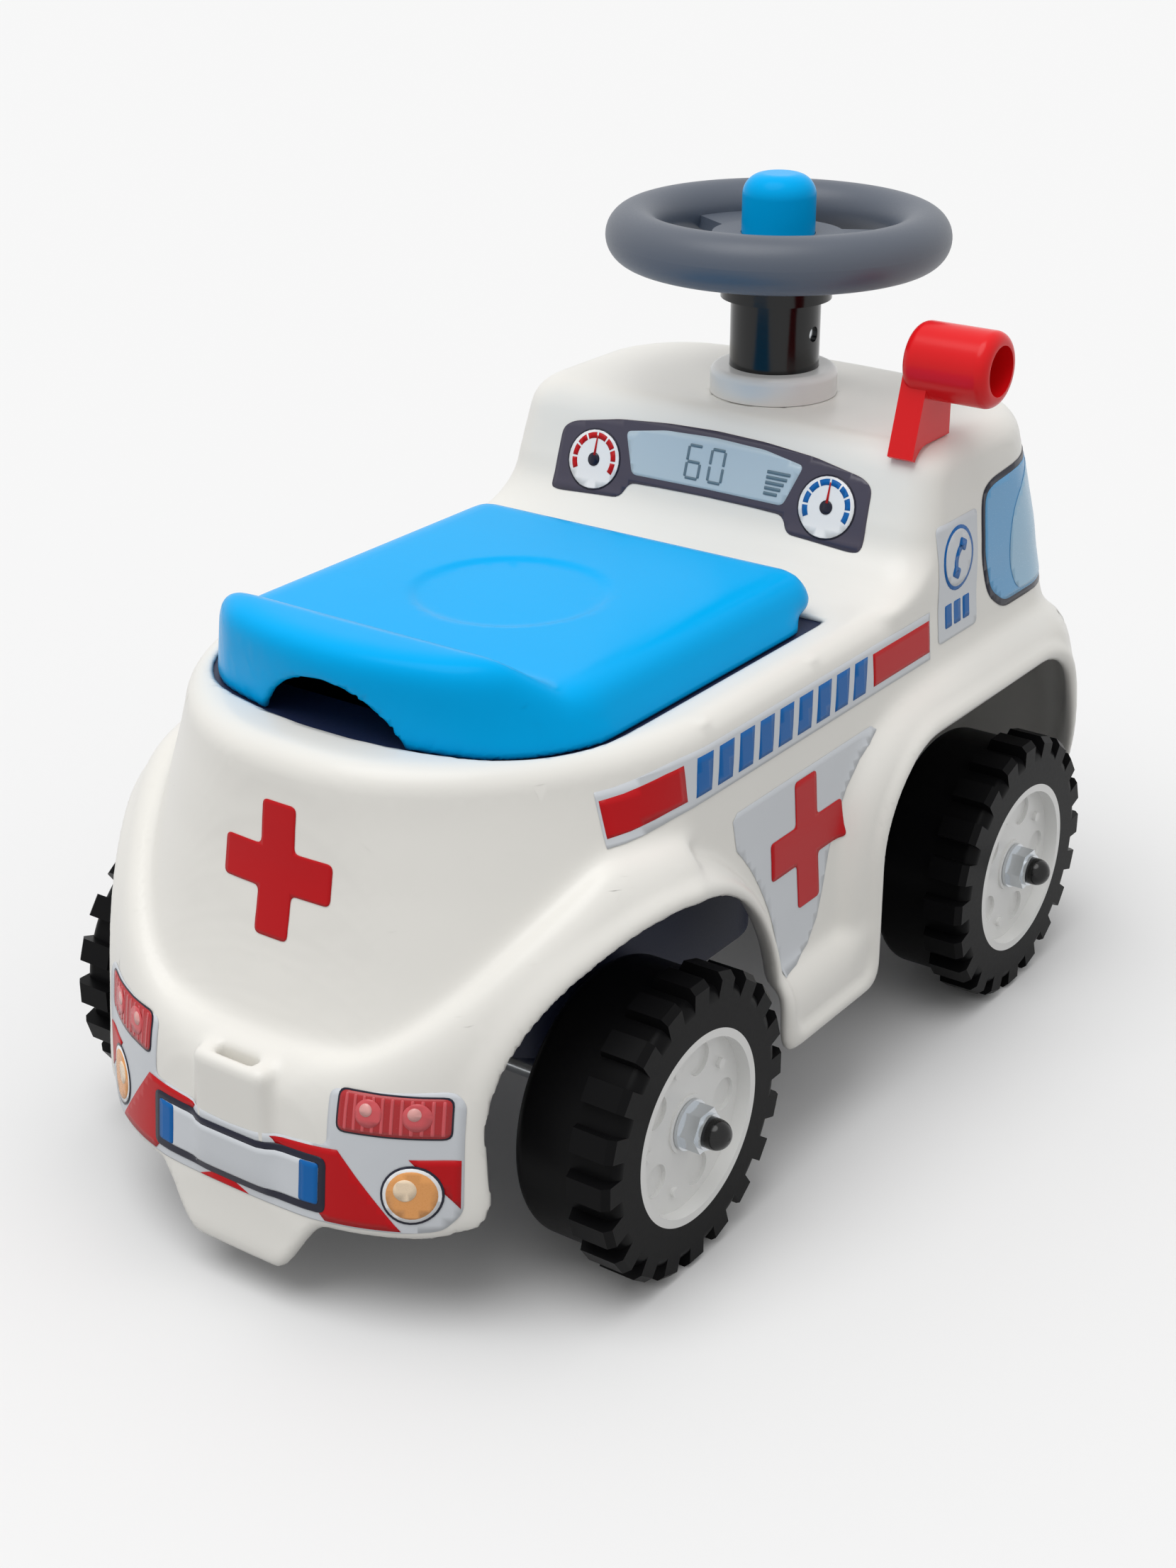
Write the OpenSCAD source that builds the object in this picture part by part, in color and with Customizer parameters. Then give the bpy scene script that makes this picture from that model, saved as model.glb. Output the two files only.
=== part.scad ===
// Toddler's ride-on ambulance: a moulded body on a moulded underframe, with a hinged seat lid
// over a storage bin, a steered front axle, a push horn in the steering wheel and a dummy siren.
// Frame: +X forward, +Y to the rider's left, +Z up, origin on the floor under the middle of the body.

/* [Chassis] */
// Overall length, bumper to bumper
body_l = 578; // [568:1:590]
// From the rear bumper's lowest edge to the rear axle
rear_overhang = 135; // [132:1:140]
// Distance between the axles
wheelbase = 318; // [314:1:322]
// Wall thickness of the moulded shell
wall = 3; // [2.6:0.1:3.4]

/* [Tub] */
// Height of the flat rim round the seat
rim_h = 246; // [243:1:249]
// Width across the tub just below the rim
tub_w = 262; // [259:1:265]
// Rounding of the rim's outer edge
rim_edge_r = 12; // [9:1:14]
// From the rear bumper's edge to the tub's rear face at the rim
tub_setback = 47; // [45:1:49]
// Rounding of the tub's rear corners at the rim, seen from above
tub_corner_r = 112; // [106:1:116]
// How far the tub's rear face bows out
rear_bow = 24; // [20:1:27]
// How far the rear face flares out down to the bumper
rear_flare = 24; // [20:1:27]
// How far each side leans out down to the skirt
side_flare = 8; // [5:1:10]

/* [Cab] */
// Height of the cab's deck
deck_h = 313; // [309:1:318]
// From the rear axle to the dash face
dash_reach = 241; // [237:1:246]
// How far the dash leans forward up to the deck
dash_lean = 12; // [8:1:16]
// Length of the sweep from the rim to the dash
sweep_l = 46; // [38:1:48]
// Height of the sweep from the rim to the dash
sweep_h = 26; // [20:1:30]
// From the front bumper's edge to the cab's front at rim height
cab_setback = 36; // [33:1:39]
// How far the cab's front leans back from the rim to the deck
screen_lean = 18; // [14:1:22]
// How far the front bows out
front_bow = 15; // [12:1:18]
// Rounding of the dash's side corners, seen from above
dash_corner_r = 18; // [12:1:24]
// Rounding of the cab's front corners, seen from above
front_corner_r = 45; // [38:1:52]
// Rounding of the deck's edge
deck_edge_r = 13; // [9:1:15]
// How far each side leans in up to the deck
cab_lean = 6; // [3:1:8]

/* [Skirt] */
// Width across the fenders
skirt_w = 301; // [297:1:304]
// Rounding of the skirt's rear corners, seen from above
skirt_rear_r = 120; // [114:1:124]
// How far the rear bumper bows out
skirt_bow = 12; // [9:1:15]
// Rounding of the skirt's front corners, seen from above
skirt_front_r = 42; // [38:1:48]
// How far the bumpers lean in up to their shoulders
bumper_lean = 10; // [7:1:12]
// Height of the bumpers' lower edge
bumper_low = 46; // [42:1:50]
// Height of the tongue under the rear bumper
tongue_low = 18; // [15:1:22]
// Width of the tongue
tongue_w = 58; // [50:1:66]
// Rounding of the tongue's corners
tongue_r = 9; // [6:1:11]
// Height of the rear bumper's shoulder in the middle
rear_shoulder = 122; // [118:1:126]
// How far the rear shoulder climbs towards the sides
rear_climb = 100; // [92:1:106]
// Height of the front bumper's shoulder in the middle
front_shoulder = 127; // [123:1:131]
// How far the front shoulder climbs towards the sides
front_climb = 79; // [74:1:84]
// Height of the shoulder over the rear fenders
rear_fender_h = 204; // [198:1:210]
// Radius of the shoulder line round the rear fenders
rear_fender_r = 122; // [118:1:125]
// How far the rear fender's crown lies behind the axle
rear_fender_back = 30; // [26:1:34]
// Height of the shoulder over the front fenders
front_fender_h = 203; // [199:1:207]
// Length of the front fender's shoulder line back from its crown
front_fender_l = 142; // [138:1:146]
// How far the front fender's crown lies behind the axle
front_fender_back = 28; // [24:1:32]
// Height of the sill's shoulder
sill_shoulder = 101; // [97:1:105]
// Height of the sill's lower edge
sill_low = 63; // [59:1:67]
// Height that the shoulder takes to run out into the tub
shoulder_blend = 24; // [18:1:30]
// Height that the shoulder takes more of at the rear corners
corner_blend = 42; // [34:1:48]
// Width of the box that stands out of the rear bumper
plate_box_w = 42; // [36:1:48]
// Height of the box's top
plate_box_h = 116; // [113:1:118]
// Height of the box's foot
plate_box_low = 58; // [54:1:62]
// Depth of the box, front to back
plate_box_d = 17; // [15:1:19]
// Width of the hitch slot in the box's top
slot_w = 23; // [20:1:26]
// Length of the hitch slot, front to back
slot_l = 5.5; // [5:0.1:6]
// Depth of the hitch slot
slot_d = 14; // [10:1:18]

/* [Wheel arches] */
// Radius of the rear arch
rear_arch_r = 87; // [84:1:89]
// How far the rear arch's centre lies behind the axle
rear_arch_back = 3; // [1:1:5]
// How far the rear arch's centre lies above the axle
rear_arch_up = 18; // [16:1:20]
// From the front axle back to the arch's edge
front_arch_back = 143; // [139:1:147]
// From the front axle forward to the arch's edge
front_arch_fore = 104; // [102:1:106]
// Height of the front arch
front_arch_h = 180; // [177:1:183]
// Rounding of the front arch's rear upper corner
front_arch_r = 52; // [44:1:60]
// From the front axle forward to the end of the front arch's top
front_arch_crown = 21; // [16:1:26]
// Rounding of the front arch's fore upper corner
front_arch_fore_r = 45; // [38:1:52]

/* [Seat lid] */
// Width of the lid at the rim
lid_w = 212; // [208:1:215]
// From the rear bumper's edge to the lid's rear face
lid_setback = 78; // [75:1:81]
// From the rear axle to the lid's hinge axis
lid_hinge_reach = 178; // [175:1:181]
// Height of the hinge axis above the rim
lid_hinge_up = 10; // [9:0.5:11]
// Rounding of the lid's front edge about the hinge
lid_nose_r = 9; // [8:0.5:9]
// Height of the pan above the rim, behind the slope
lid_pan_up = 23; // [21:0.5:25]
// Height of the rear lip above the rim
lid_lip_up = 40; // [37:1:43]
// Length of the rear lip
lid_lip_l = 26; // [22:1:30]
// Length of the slope from the lip to the pan
lid_slope_l = 22; // [18:1:26]
// How far the rear face leans out up to the lip
lid_rear_lean = 6; // [3:1:8]
// How far each side leans in up to the lip
lid_side_lean = 11; // [8:1:14]
// Rounding of the lid's rear corners, seen from above
lid_corner_r = 40; // [36:1:44]
// How far the lid's rear edge bows out
lid_bow = 28; // [24:1:30]
// Wall thickness of the lid
lid_t = 3; // [2.6:0.1:3.4]
// Gap between the lid and the rim
lid_gap = 1.5; // [1.2:0.1:1.8]
// Width of the hand-grip arch
grip_w = 76; // [70:1:82]
// Height of the hand-grip arch above the rim
grip_up = 22; // [19:1:25]
// Spread of the hinge ears, middle to middle
ear_spread = 160; // [152:1:168]
// Thickness of a hinge ear
ear_t = 8; // [7:0.5:9]
// Half width of a hinge ear
ear_r = 5; // [4.8:0.1:5.2]
// Diameter of a hinge pin
pin_d = 5; // [4.5:0.1:5.5]
// Thickness of the lid's hinge cheeks
cheek_t = 5; // [4:0.5:6]
// From the rear axle to the middle of the ribs under the lid
lid_rib_reach = 75; // [70:1:80]
// Number of ribs under the lid
lid_rib_count = 12; // [10:1:14]
// Radius of the ring that the ribs start from
lid_rib_ring_r = 20; // [16:1:24]
// Length of the ribs from the middle of the ring
lid_rib_l = 92; // [88:1:95]
// Thickness of a rib
lid_rib_t = 2.2; // [2:0.1:2.6]
// How far the ribs hang below the pan
lid_rib_d = 8; // [6:0.5:9]

/* [Underframe] */
// Width of the storage bin
bin_w = 192; // [184:1:196]
// From the rear axle back to the bin's rear wall
bin_back = 28; // [24:1:31]
// From the rear axle forward to the bin's front wall
bin_fore = 163; // [159:1:165]
// Height of the bin's floor
bin_floor = 92; // [88:1:96]
// Wall thickness of the underframe
bin_t = 2.5; // [2.2:0.1:3]
// Rounding of the bin's corners
bin_r = 34; // [30:1:38]
// How far the bin's flange reaches out under the rim
flange_reach = 5; // [4:0.5:6]
// Distance between the outer faces of the rear axle ribs
rib_spread = 184; // [178:1:187]
// Thickness of the rear axle ribs
rib_t = 7; // [6:0.5:8]
// Length of a rear axle rib
rib_l = 44; // [38:1:50]
// Width of the front beam
beam_w = 90; // [84:1:94]
// Height of the front beam's underside
beam_low = 105; // [103:1:107]
// Height of the front beam's top
beam_top = 152; // [148:1:156]
// Thickness of the beam's floor and webs
beam_t = 5; // [4:0.5:6]
// Outer diameter of the shaft bearing
bearing_d = 34; // [31:1:37]
// Diameter of the screw posts
post_d = 11; // [10:0.5:12]
// Height of the posts' lower end
post_low = 205; // [200:1:210]
// Rear and front post places ahead of the rear axle
post_reaches = [46, 138];
// Spread of the front bosses
boss_spread = 56; // [50:1:62]
// Height of the front bosses
boss_h = 130; // [127:1:134]
// Reach of the front bosses in from the bumper's edge
boss_reach = 32; // [30:1:35]
// Diameter of a fixing screw
screw_d = 4; // [3.5:0.1:4.5]
// Diameter of a screw's head
screw_head_d = 8; // [7.5:0.1:8.5]
// Thickness of a screw's head
screw_head_t = 3; // [2.6:0.1:3.4]
// Length of a screw under its head
screw_l = 16; // [14:1:18]

/* [Wheels] */
// Radius over the tyre's lugs
tyre_r = 72; // [70:0.5:73]
// Height of the lugs
lug_h = 6; // [5:0.5:7]
// Number of lugs
lug_count = 20; // [16:1:24]
// Width of a lug along the tread
lug_w = 11; // [9:0.5:12]
// Length of a lug across the tread
lug_l = 24; // [20:1:28]
// How far a lug reaches in over the sidewall
lug_drop = 9; // [7:0.5:11]
// Distance between the outer faces of a pair of tyres
track_w = 316; // [314:1:318]
// Width of a tyre
tyre_w = 55; // [53:0.5:56]
// Rounding of the tyre's edges
tyre_edge_r = 6; // [4:0.5:7]
// Radius of the wheel disc
hub_r = 46.4; // [44:0.1:48]
// How far the disc's face is dished in
hub_dish = 7; // [5:0.5:8]
// Width of the disc's rim
hub_rim_w = 4; // [3:0.5:5]
// Thickness of the wheel disc's web
hub_web = 8; // [6:0.5:10]
// Radius of the disc's boss
hub_boss_r = 14; // [13:0.5:16]
// Height of the boss above the dished face
hub_boss_up = 1; // [0.5:0.5:2]
// Number of petals on the disc
petal_count = 5; // [4:1:6]
// Radius of the circle that the petals lie on
petal_at = 30; // [28:0.5:31]
// Radius of a petal
petal_r = 8; // [7:0.5:9]
// Depth of a petal
petal_d = 2; // [1.5:0.5:3]
// Radius of the circle that the rivets lie on
rivet_at = 32; // [30:0.5:34]
// Diameter of a rivet
rivet_d = 5; // [4:0.5:6]
// Height of a rivet
rivet_up = 2; // [1.5:0.5:2.5]
// Diameter of the axles
axle_d = 12; // [11:0.5:12]
// Running clearance round the axles and the shaft
run_gap = 0.08; // [0.05:0.01:0.1]
// Gap that lets neighbours turn past each other
turn_gap = 0.3; // [0.25:0.05:0.4]
// Outer diameter of the axle washers
washer_d = 24; // [22:0.5:26]
// Thickness of the axle washers
washer_t = 1.6; // [1.4:0.1:2]
// Outer diameter of the axle spacers
spacer_d = 20; // [18:0.5:22]
// Width across the flats of an axle nut
nut_af = 19; // [18:0.5:20]
// Thickness of an axle nut
nut_t = 8; // [7:0.5:9]
// Length of the nut's round collar
nut_collar_t = 2; // [1.5:0.5:2.5]
// Diameter of the axle caps
cap_d = 14.5; // [14:0.5:16]
// Length of the axle caps
cap_l = 10; // [9.5:0.5:11]
// Wall at the tip of the axle caps
cap_tip = 5; // [4.5:0.5:5.5]

/* [Steering] */
// How far the steering axis lies behind the front axle
steer_trail = 12; // [11:0.5:13]
// Height of the middle of the ring
ring_h = 395; // [391:1:399]
// Radius of the ring's centre line
ring_r = 74.5; // [72:0.5:77]
// Diameter of the ring's tube
ring_tube_d = 28.8; // [26:0.2:30]
// Radius of the wheel's hub
wheel_hub_r = 34; // [32:0.5:36]
// Height of the hub's top above the ring's middle
wheel_hub_up = 1; // [0:0.5:2]
// Number of spokes
spoke_count = 3; // [2:1:4]
// Width of a spoke
spoke_w = 30; // [26:1:34]
// Thickness of a spoke
spoke_t = 7; // [6:0.5:9]
// Thickness of the hub's top plate
hub_plate_t = 4; // [3:0.5:5]
// Diameter of the horn button
horn_d = 38; // [36:0.5:40]
// Height of the button above the hub
horn_up = 30; // [27:1:32]
// Rounding of the button's top
horn_round_r = 11; // [8:0.5:13]
// How far the button's foot reaches out under the plate
horn_foot_reach = 3; // [2.5:0.5:4]
// Thickness of the button's foot
horn_foot_t = 3; // [2.5:0.5:3.5]
// Wall of the button
horn_t = 2.5; // [2:0.5:3]
// Diameter of the column sleeve
column_d = 47; // [45:0.5:49]
// Diameter of the column's flange
flange_d = 58; // [56:0.5:60]
// Thickness of the column's flange
flange_t = 8; // [7:0.5:9]
// Height of the column's top
column_top = 371; // [369:0.5:373]
// Reach of the column sleeve below the deck
column_reach = 16; // [14:1:18]
// Diameter of the steering shaft
shaft_d = 20; // [19:0.5:21]
// Wall of the steering shaft
shaft_t = 2; // [1.5:0.5:2.5]
// Diameter of the deck's collar
collar_d = 67; // [64:0.5:70]
// Height of the collar above the deck
collar_up = 14; // [12:1:16]
// Rounding of the collar's top
collar_r = 4; // [3:0.5:5]
// Diameter of the collar's spigot
spigot_d = 58; // [56:0.5:60]
// Length of the collar's spigot below the deck
spigot_l = 10; // [9:0.5:11]
// Thickness of the clip under the collar
clip_t = 3; // [2.5:0.5:3.5]
// Height of the column screws
column_screw_h = 346; // [343:1:350]
// Recess round the head of a column screw
column_screw_recess = 2; // [1.5:0.5:2.5]
// Length of the axle carrier along the axle
carrier_w = 68; // [62:1:74]
// Length of the axle carrier, front to back
carrier_l = 46; // [43:1:49]
// Height of the carrier's underside
carrier_low = 60; // [58:1:62]
// How deep the shaft sits in the carrier
shaft_seat = 20; // [18:1:21]
// Diameter of the bolt through the carrier and the shaft
carrier_bolt_d = 6; // [5:0.5:6]

/* [Siren] */
// Diameter of the siren's cup
siren_d = 38; // [36:0.5:40]
// Length of the siren's cup
siren_l = 46; // [42:1:50]
// Diameter of the siren's mouth
siren_mouth_d = 25; // [23:0.5:27]
// Depth of the siren's mouth
siren_mouth_l = 30; // [26:1:34]
// Rounding of the cup's ends
siren_round_r = 6; // [4:0.5:8]
// Height of the cup's middle above the deck
siren_up = 39; // [37:1:42]
// From the rear axle to the siren's middle
siren_reach = 275; // [273:1:277]
// From the middle of the vehicle to the cup's back
siren_side = 100; // [98:1:102]
// Thickness of the siren's leg
siren_leg_t = 14; // [12:1:15]
// Width of the siren's leg
siren_leg_l = 24; // [22:1:26]

/* [Hidden] */
$fn = 48;
// One overrun for every cut
cut = 1;
// Steps round an end's corners and along its middle
corner_steps = 5;
end_steps = 5;
// Steps along the fenders' shoulder lines, the sills and the front fender's top
arc_steps = 8;
sill_steps = 3;
crown_steps = 2;
// Steps through the shoulder, up the tub, over the rounded edges and up the sweep
blend_steps = 4;
tub_steps = 4;
round_steps = 3;
sweep_steps = 5;
// Inset of the cab's block inside the tub's sides
cab_inset = 0.4;
// How far the columns of the sides spread on their way up
column_spread = 10;
// Clearance round the fixing screws
screw_gap = 0.15;
both_sides = [-1, 1];

rear_x = -body_l / 2;
front_x = body_l / 2;
rear_axle_x = rear_x + rear_overhang;
front_axle_x = rear_axle_x + wheelbase;
axle_h = tyre_r;
cab_front_x = front_x - cab_setback;
dash_x = rear_axle_x + dash_reach;
steer_x = front_axle_x - steer_trail;
hinge_x = rear_axle_x + lid_hinge_reach;
hinge_h = rim_h + lid_hinge_up;
tyre_outer = track_w / 2;
tyre_inner = tyre_outer - tyre_w;
flange_h = rim_h - wall;

// Tub flare and corner rounding at heights given as shares of the rim's height
rear_flare_shares = [[0, 1.2], [0.24, 1.2], [0.48, 1], [0.57, 0.72], [0.65, 0.5], [0.78, 0.21], [0.9, 0.04], [0.95, 0]];
side_flare_shares = [[0, 1.3], [0.24, 1.3], [0.48, 1], [0.65, 0.65], [0.9, 0.12], [0.95, 0]];
screen_lean_shares = [[0, 1.2], [0.5, 1.2], [0.64, 1.1], [0.76, 0.9], [1, 0], [1.25, -1]];
tub_corner_shares = [[0, 0.7], [0.48, 0.7], [0.65, 0.77], [0.78, 0.85], [0.95, 1]];

function smooth(t) = t <= 0 ? 0 : t >= 1 ? 1 : t * t * (3 - 2 * t);
function edge_inset(z, top, r) = z <= top - r ? 0 : r - sqrt(max(0, r * r - pow(z - top + r, 2)));

// One end of an outline seen from above: t runs through a corner, the middle and the other corner
function end_offset(t, half_w, r) =
    t < 1 ? [r * (sin(90 * t) - 1), r - half_w - r * cos(90 * t)] :
    t > 2 ? [r * (cos(90 * (t - 2)) - 1), half_w - r + r * sin(90 * (t - 2))] :
    [0, (half_w - r) * (2 * t - 3)];
function end_point(e, t, end_x, half_w, r, bow) =
    let (p = end_offset(t, half_w, r))
    [end_x + e * (p.x - bow * pow(p.y / half_w, 2)), e * p.y];
end_ts = concat(
    [for (k = [0:corner_steps]) k / corner_steps],
    [for (k = [1:end_steps - 1]) 1 + k / end_steps],
    [for (k = [0:corner_steps]) 2 + k / corner_steps]);
function outline(rear, front, half_w, rear_r, front_r, rear_b, front_b) = concat(
    [for (t = end_ts) end_point(1, t, front, half_w, front_r, front_b)],
    [for (t = end_ts) end_point(-1, t, rear, half_w, rear_r, rear_b)]);

// Height of the skirt's shoulder over a place on the floor
rear_crown_x = rear_axle_x - rear_fender_back;
front_crown_x = front_axle_x - front_fender_back;
rear_fender_low = rear_fender_h - rear_fender_r;
front_fender_rise = front_fender_h - sill_low;
function crown_line(x) =
    let (d = max(0, x - rear_crown_x))
    x > 0 ? front_fender_h : rear_fender_low + sqrt(max(0, pow(rear_fender_r, 2) - d * d));
function end_line(e, x, y) =
    let (u = 2 * y / skirt_w)
    min(crown_line(x), e < 0 ? rear_shoulder + rear_climb * u * u : front_shoulder + front_climb * u * u);

// Tub and skirt at a height, moved in by a wall
function tub_half(z) = tub_w / 2 + side_flare * lookup(z / rim_h, side_flare_shares);
function cab_front_at(z) = cab_front_x + screen_lean * lookup(z / rim_h, screen_lean_shares);
function tub_point(e, t, z, in) =
    let (i = in + edge_inset(z, rim_h, rim_edge_r))
    e < 0 ?
        end_point(e, t, rear_x + tub_setback - rear_flare * lookup(z / rim_h, rear_flare_shares) + i,
            tub_half(z) - i, tub_corner_r * lookup(z / rim_h, tub_corner_shares) - i, rear_bow) :
        end_point(e, t, cab_front_at(z) - i, tub_half(z) - i, front_corner_r - i, front_bow);
function skirt_point(e, t, z, in) =
    e < 0 ?
        end_point(e, t, rear_x + bumper_lean * (z - tongue_low) / (rear_shoulder - tongue_low) + in,
            skirt_w / 2 - in, skirt_rear_r - in, skirt_bow) :
        end_point(e, t, front_x - bumper_lean * (z - tongue_low) / (front_shoulder - tongue_low) - in,
            skirt_w / 2 - in, skirt_front_r - in, front_bow);

// Rows of the shell, upwards: foot, shoulder, tub wall, rounded rim
shoulder_row = 1 + blend_steps;
wall_row = shoulder_row + tub_steps;
rim_row = wall_row + round_steps;
function row_share(r) = (shoulder_row - r) / blend_steps;
function skirt_share(r) = r == 0 ? 1 : r <= shoulder_row ? sqrt(1 - pow(1 - row_share(r), 2)) : 0;
function wall_share(r) = (r - shoulder_row) / tub_steps;
function upper_z(line, r) =
    r <= wall_row ? line + (rim_h - rim_edge_r - line) * wall_share(r) :
    rim_h - rim_edge_r * (1 - sin(90 * (r - wall_row) / round_steps));
function foot_z(in) = tongue_low - (in > 0 ? cut : 0);

// A column of an end: the shoulder runs straight down
function end_column_point(e, t, r, in) =
    let (
        at = skirt_point(e, t, rear_shoulder, 0),
        line = end_line(e, at.x, at.y),
        corner_share = t < 1 ? t : t > 2 ? 3 - t : 0,
        blend = shoulder_blend + corner_blend * 4 * corner_share * (1 - corner_share),
        z = r == 0 ? foot_z(in) : r <= shoulder_row ? line - blend * row_share(r) : upper_z(line, r),
        tub = tub_point(e, t, z, in),
        p = tub + (skirt_point(e, t, z, in) - tub) * skirt_share(r)
    )
    [p.x, p.y, r == rim_row ? z - in : z];

// Columns of a side, rearmost first: place on the shoulder line, direction into the skirt
skirt_end_x = skirt_point(-1, 0, rear_shoulder, 0).x;
skirt_fore_x = skirt_point(1, 0, front_shoulder, 0).x;
rear_arc_from = acos((skirt_end_x - rear_crown_x) / rear_fender_r);
sill_from_x = rear_crown_x + rear_fender_r;
sill_to_x = front_crown_x - front_fender_l;
rear_arc = [for (k = [1:arc_steps])
    let (a = rear_arc_from * (1 - k / (arc_steps + 1)))
    [rear_crown_x + rear_fender_r * cos(a), rear_fender_low + rear_fender_r * sin(a), -cos(a), -sin(a)]];
sill_run = [for (k = [1:sill_steps])
    [sill_from_x + (sill_to_x - sill_from_x) * k / (sill_steps + 1), sill_shoulder, 0, -1]];
front_arc = [for (k = [1:arc_steps])
    let (
        b = 90 * pow(k / arc_steps, 2),
        u = sqrt(cos(b)),
        v = sqrt(sin(b)),
        g = [pow(u, 3) / front_fender_l, pow(v, 3) / front_fender_rise]
    )
    [front_crown_x - front_fender_l * u, sill_low + front_fender_rise * v, g.x / norm(g), -g.y / norm(g)]];
front_crown = [for (k = [1:crown_steps])
    [front_crown_x + (skirt_fore_x - front_crown_x) * k / (crown_steps + 1), front_fender_h, 0, -1]];
side_columns = concat(rear_arc, sill_run, front_arc, front_crown);
rim_from_x = tub_point(-1, 0, rim_h - rim_edge_r, 0).x;
rim_to_x = tub_point(1, 0, rim_h - rim_edge_r, 0).x;
// Columns spread a little on their way up to the rim
sill_mid_x = (sill_from_x + sill_to_x) / 2;
function rim_x(x) = x < sill_mid_x ?
    sill_mid_x - (sill_mid_x - x) * (sill_mid_x - rim_from_x) / (sill_mid_x - skirt_end_x) :
    sill_mid_x + (x - sill_mid_x) * (rim_to_x - sill_mid_x) / (skirt_fore_x - sill_mid_x);
function side_column_point(side, k, r, in) =
    let (
        c = side_columns[k],
        top_x = rim_x(c[0] - c[2] * column_spread),
        line = max(c[1], sill_shoulder),
        d = shoulder_blend * row_share(r),
        z = r == 0 ? foot_z(in) : r <= shoulder_row ? line + c[3] * d : upper_z(line, r),
        x = r == 0 ? c[0] + c[2] * shoulder_blend : r <= shoulder_row ? c[0] + c[2] * d :
            c[0] + (top_x - c[0]) * min(1, wall_share(r)),
        tub = tub_half(z) - edge_inset(z, rim_h, rim_edge_r),
        y = tub + (skirt_w / 2 - tub) * skirt_share(r) - in
    )
    [x, side * y, r == rim_row ? z - in : z];
last_column = len(side_columns) - 1;
function shell_ring(r, in) = concat(
    [for (t = end_ts) end_column_point(1, t, r, in)],
    [for (k = [last_column:-1:0]) side_column_point(1, k, r, in)],
    [for (t = end_ts) end_column_point(-1, t, r, in)],
    [for (k = [0:last_column]) side_column_point(-1, k, r, in)]);

// Outline of the cab at a height, moved in by a wall
function dash_at(z) =
    let (t = max(0, min(1, (z - rim_h) / sweep_h)))
    dash_x - sweep_l * (1 - sqrt(1 - pow(1 - t, 2))) + dash_lean * smooth((z - rim_h - sweep_h) / (deck_h - rim_h - sweep_h));
function cab_ring(z, in) =
    let (
        e = in + cab_inset + edge_inset(z, deck_h, deck_edge_r),
        up_share = max(0, (z - rim_h) / (deck_h - rim_h))
    )
    [for (p = outline(dash_at(z) + e, cab_front_at(z) - e, tub_w / 2 - cab_lean * up_share - e,
        dash_corner_r, front_corner_r - e, 0, front_bow)) [p.x, p.y, z >= deck_h ? z - in : z]];

function rounded_levels(top, r) = [for (k = [0:round_steps]) top - r + r * sin(90 * k / round_steps)];
cab_low = rim_h - sweep_l;
cab_levels = concat([cab_low],
    [for (k = [0:sweep_steps]) rim_h + sweep_h * (1 - cos(90 * k / sweep_steps))],
    rounded_levels(deck_h, deck_edge_r));

// Solid through a stack of rings that all have the same number of points
module loft(rings) {
    n = len(rings[0]);
    top = (len(rings) - 1) * n;
    sides = [for (j = [0:len(rings) - 2], i = [0:n - 1])
        let (a = j * n + i, b = j * n + (i + 1) % n) each [[a, a + n, b + n], [a, b + n, b]]];
    caps = [[for (i = [0:n - 1]) i], [for (i = [n - 1:-1:0]) top + i]];
    polyhedron([for (ring = rings) each ring], concat(sides, caps));
}

// The inner skin keeps the outer heights, with its top lowered by the wall
module shell_solid(in) {
    union() {
        loft([for (r = [0:rim_row]) shell_ring(r, in)]);
        loft([for (z = cab_levels) cab_ring(z, in)]);
    }
}

module along_y(length) {
    rotate([90, 0, 0])
        linear_extrude(length, center = true)
            children();
}

module along_x(length) {
    rotate([90, 0, 90])
        linear_extrude(length)
            children();
}

module rear_arch() {
    translate([rear_axle_x - rear_arch_back, 0])
        hull() {
            translate([0, axle_h + rear_arch_up])
                circle(rear_arch_r);
            translate([-rear_arch_r, 0])
                square([2 * rear_arch_r, axle_h]);
        }
}

module front_arch() {
    hull() {
        translate([front_axle_x - front_arch_back + front_arch_r, front_arch_h - front_arch_r])
            circle(front_arch_r);
        translate([front_axle_x + front_arch_crown, front_arch_h - front_arch_fore_r])
            circle(front_arch_fore_r);
        translate([front_axle_x - front_arch_back, 0])
            square([front_arch_back + front_arch_fore, axle_h]);
    }
}

// What is left of the rear bumper's foot between the floor and the bumper's lower edge
module tongue() {
    hull() {
        for (s = both_sides)
            translate([s * (tongue_w / 2 - tongue_r), tongue_low + tongue_r])
                circle(tongue_r);
        translate([-tongue_w / 2 - tongue_r, bumper_low])
            square([tongue_w + 2 * tongue_r, cut]);
    }
}

module below_bumper() {
    translate([-skirt_w / 2 - cut, 0])
        square([skirt_w + 2 * cut, bumper_low]);
}

function post_side() = tub_w / 2 - wall - post_d / 2;

module post_places() {
    for (reach = post_reaches, s = both_sides)
        translate([rear_axle_x + reach, s * post_side(), 0])
            children();
}

module boss_places() {
    for (s = both_sides)
        translate([front_x - boss_reach, s * boss_spread / 2, boss_h])
            rotate([0, 90, 0])
                children();
}

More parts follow.
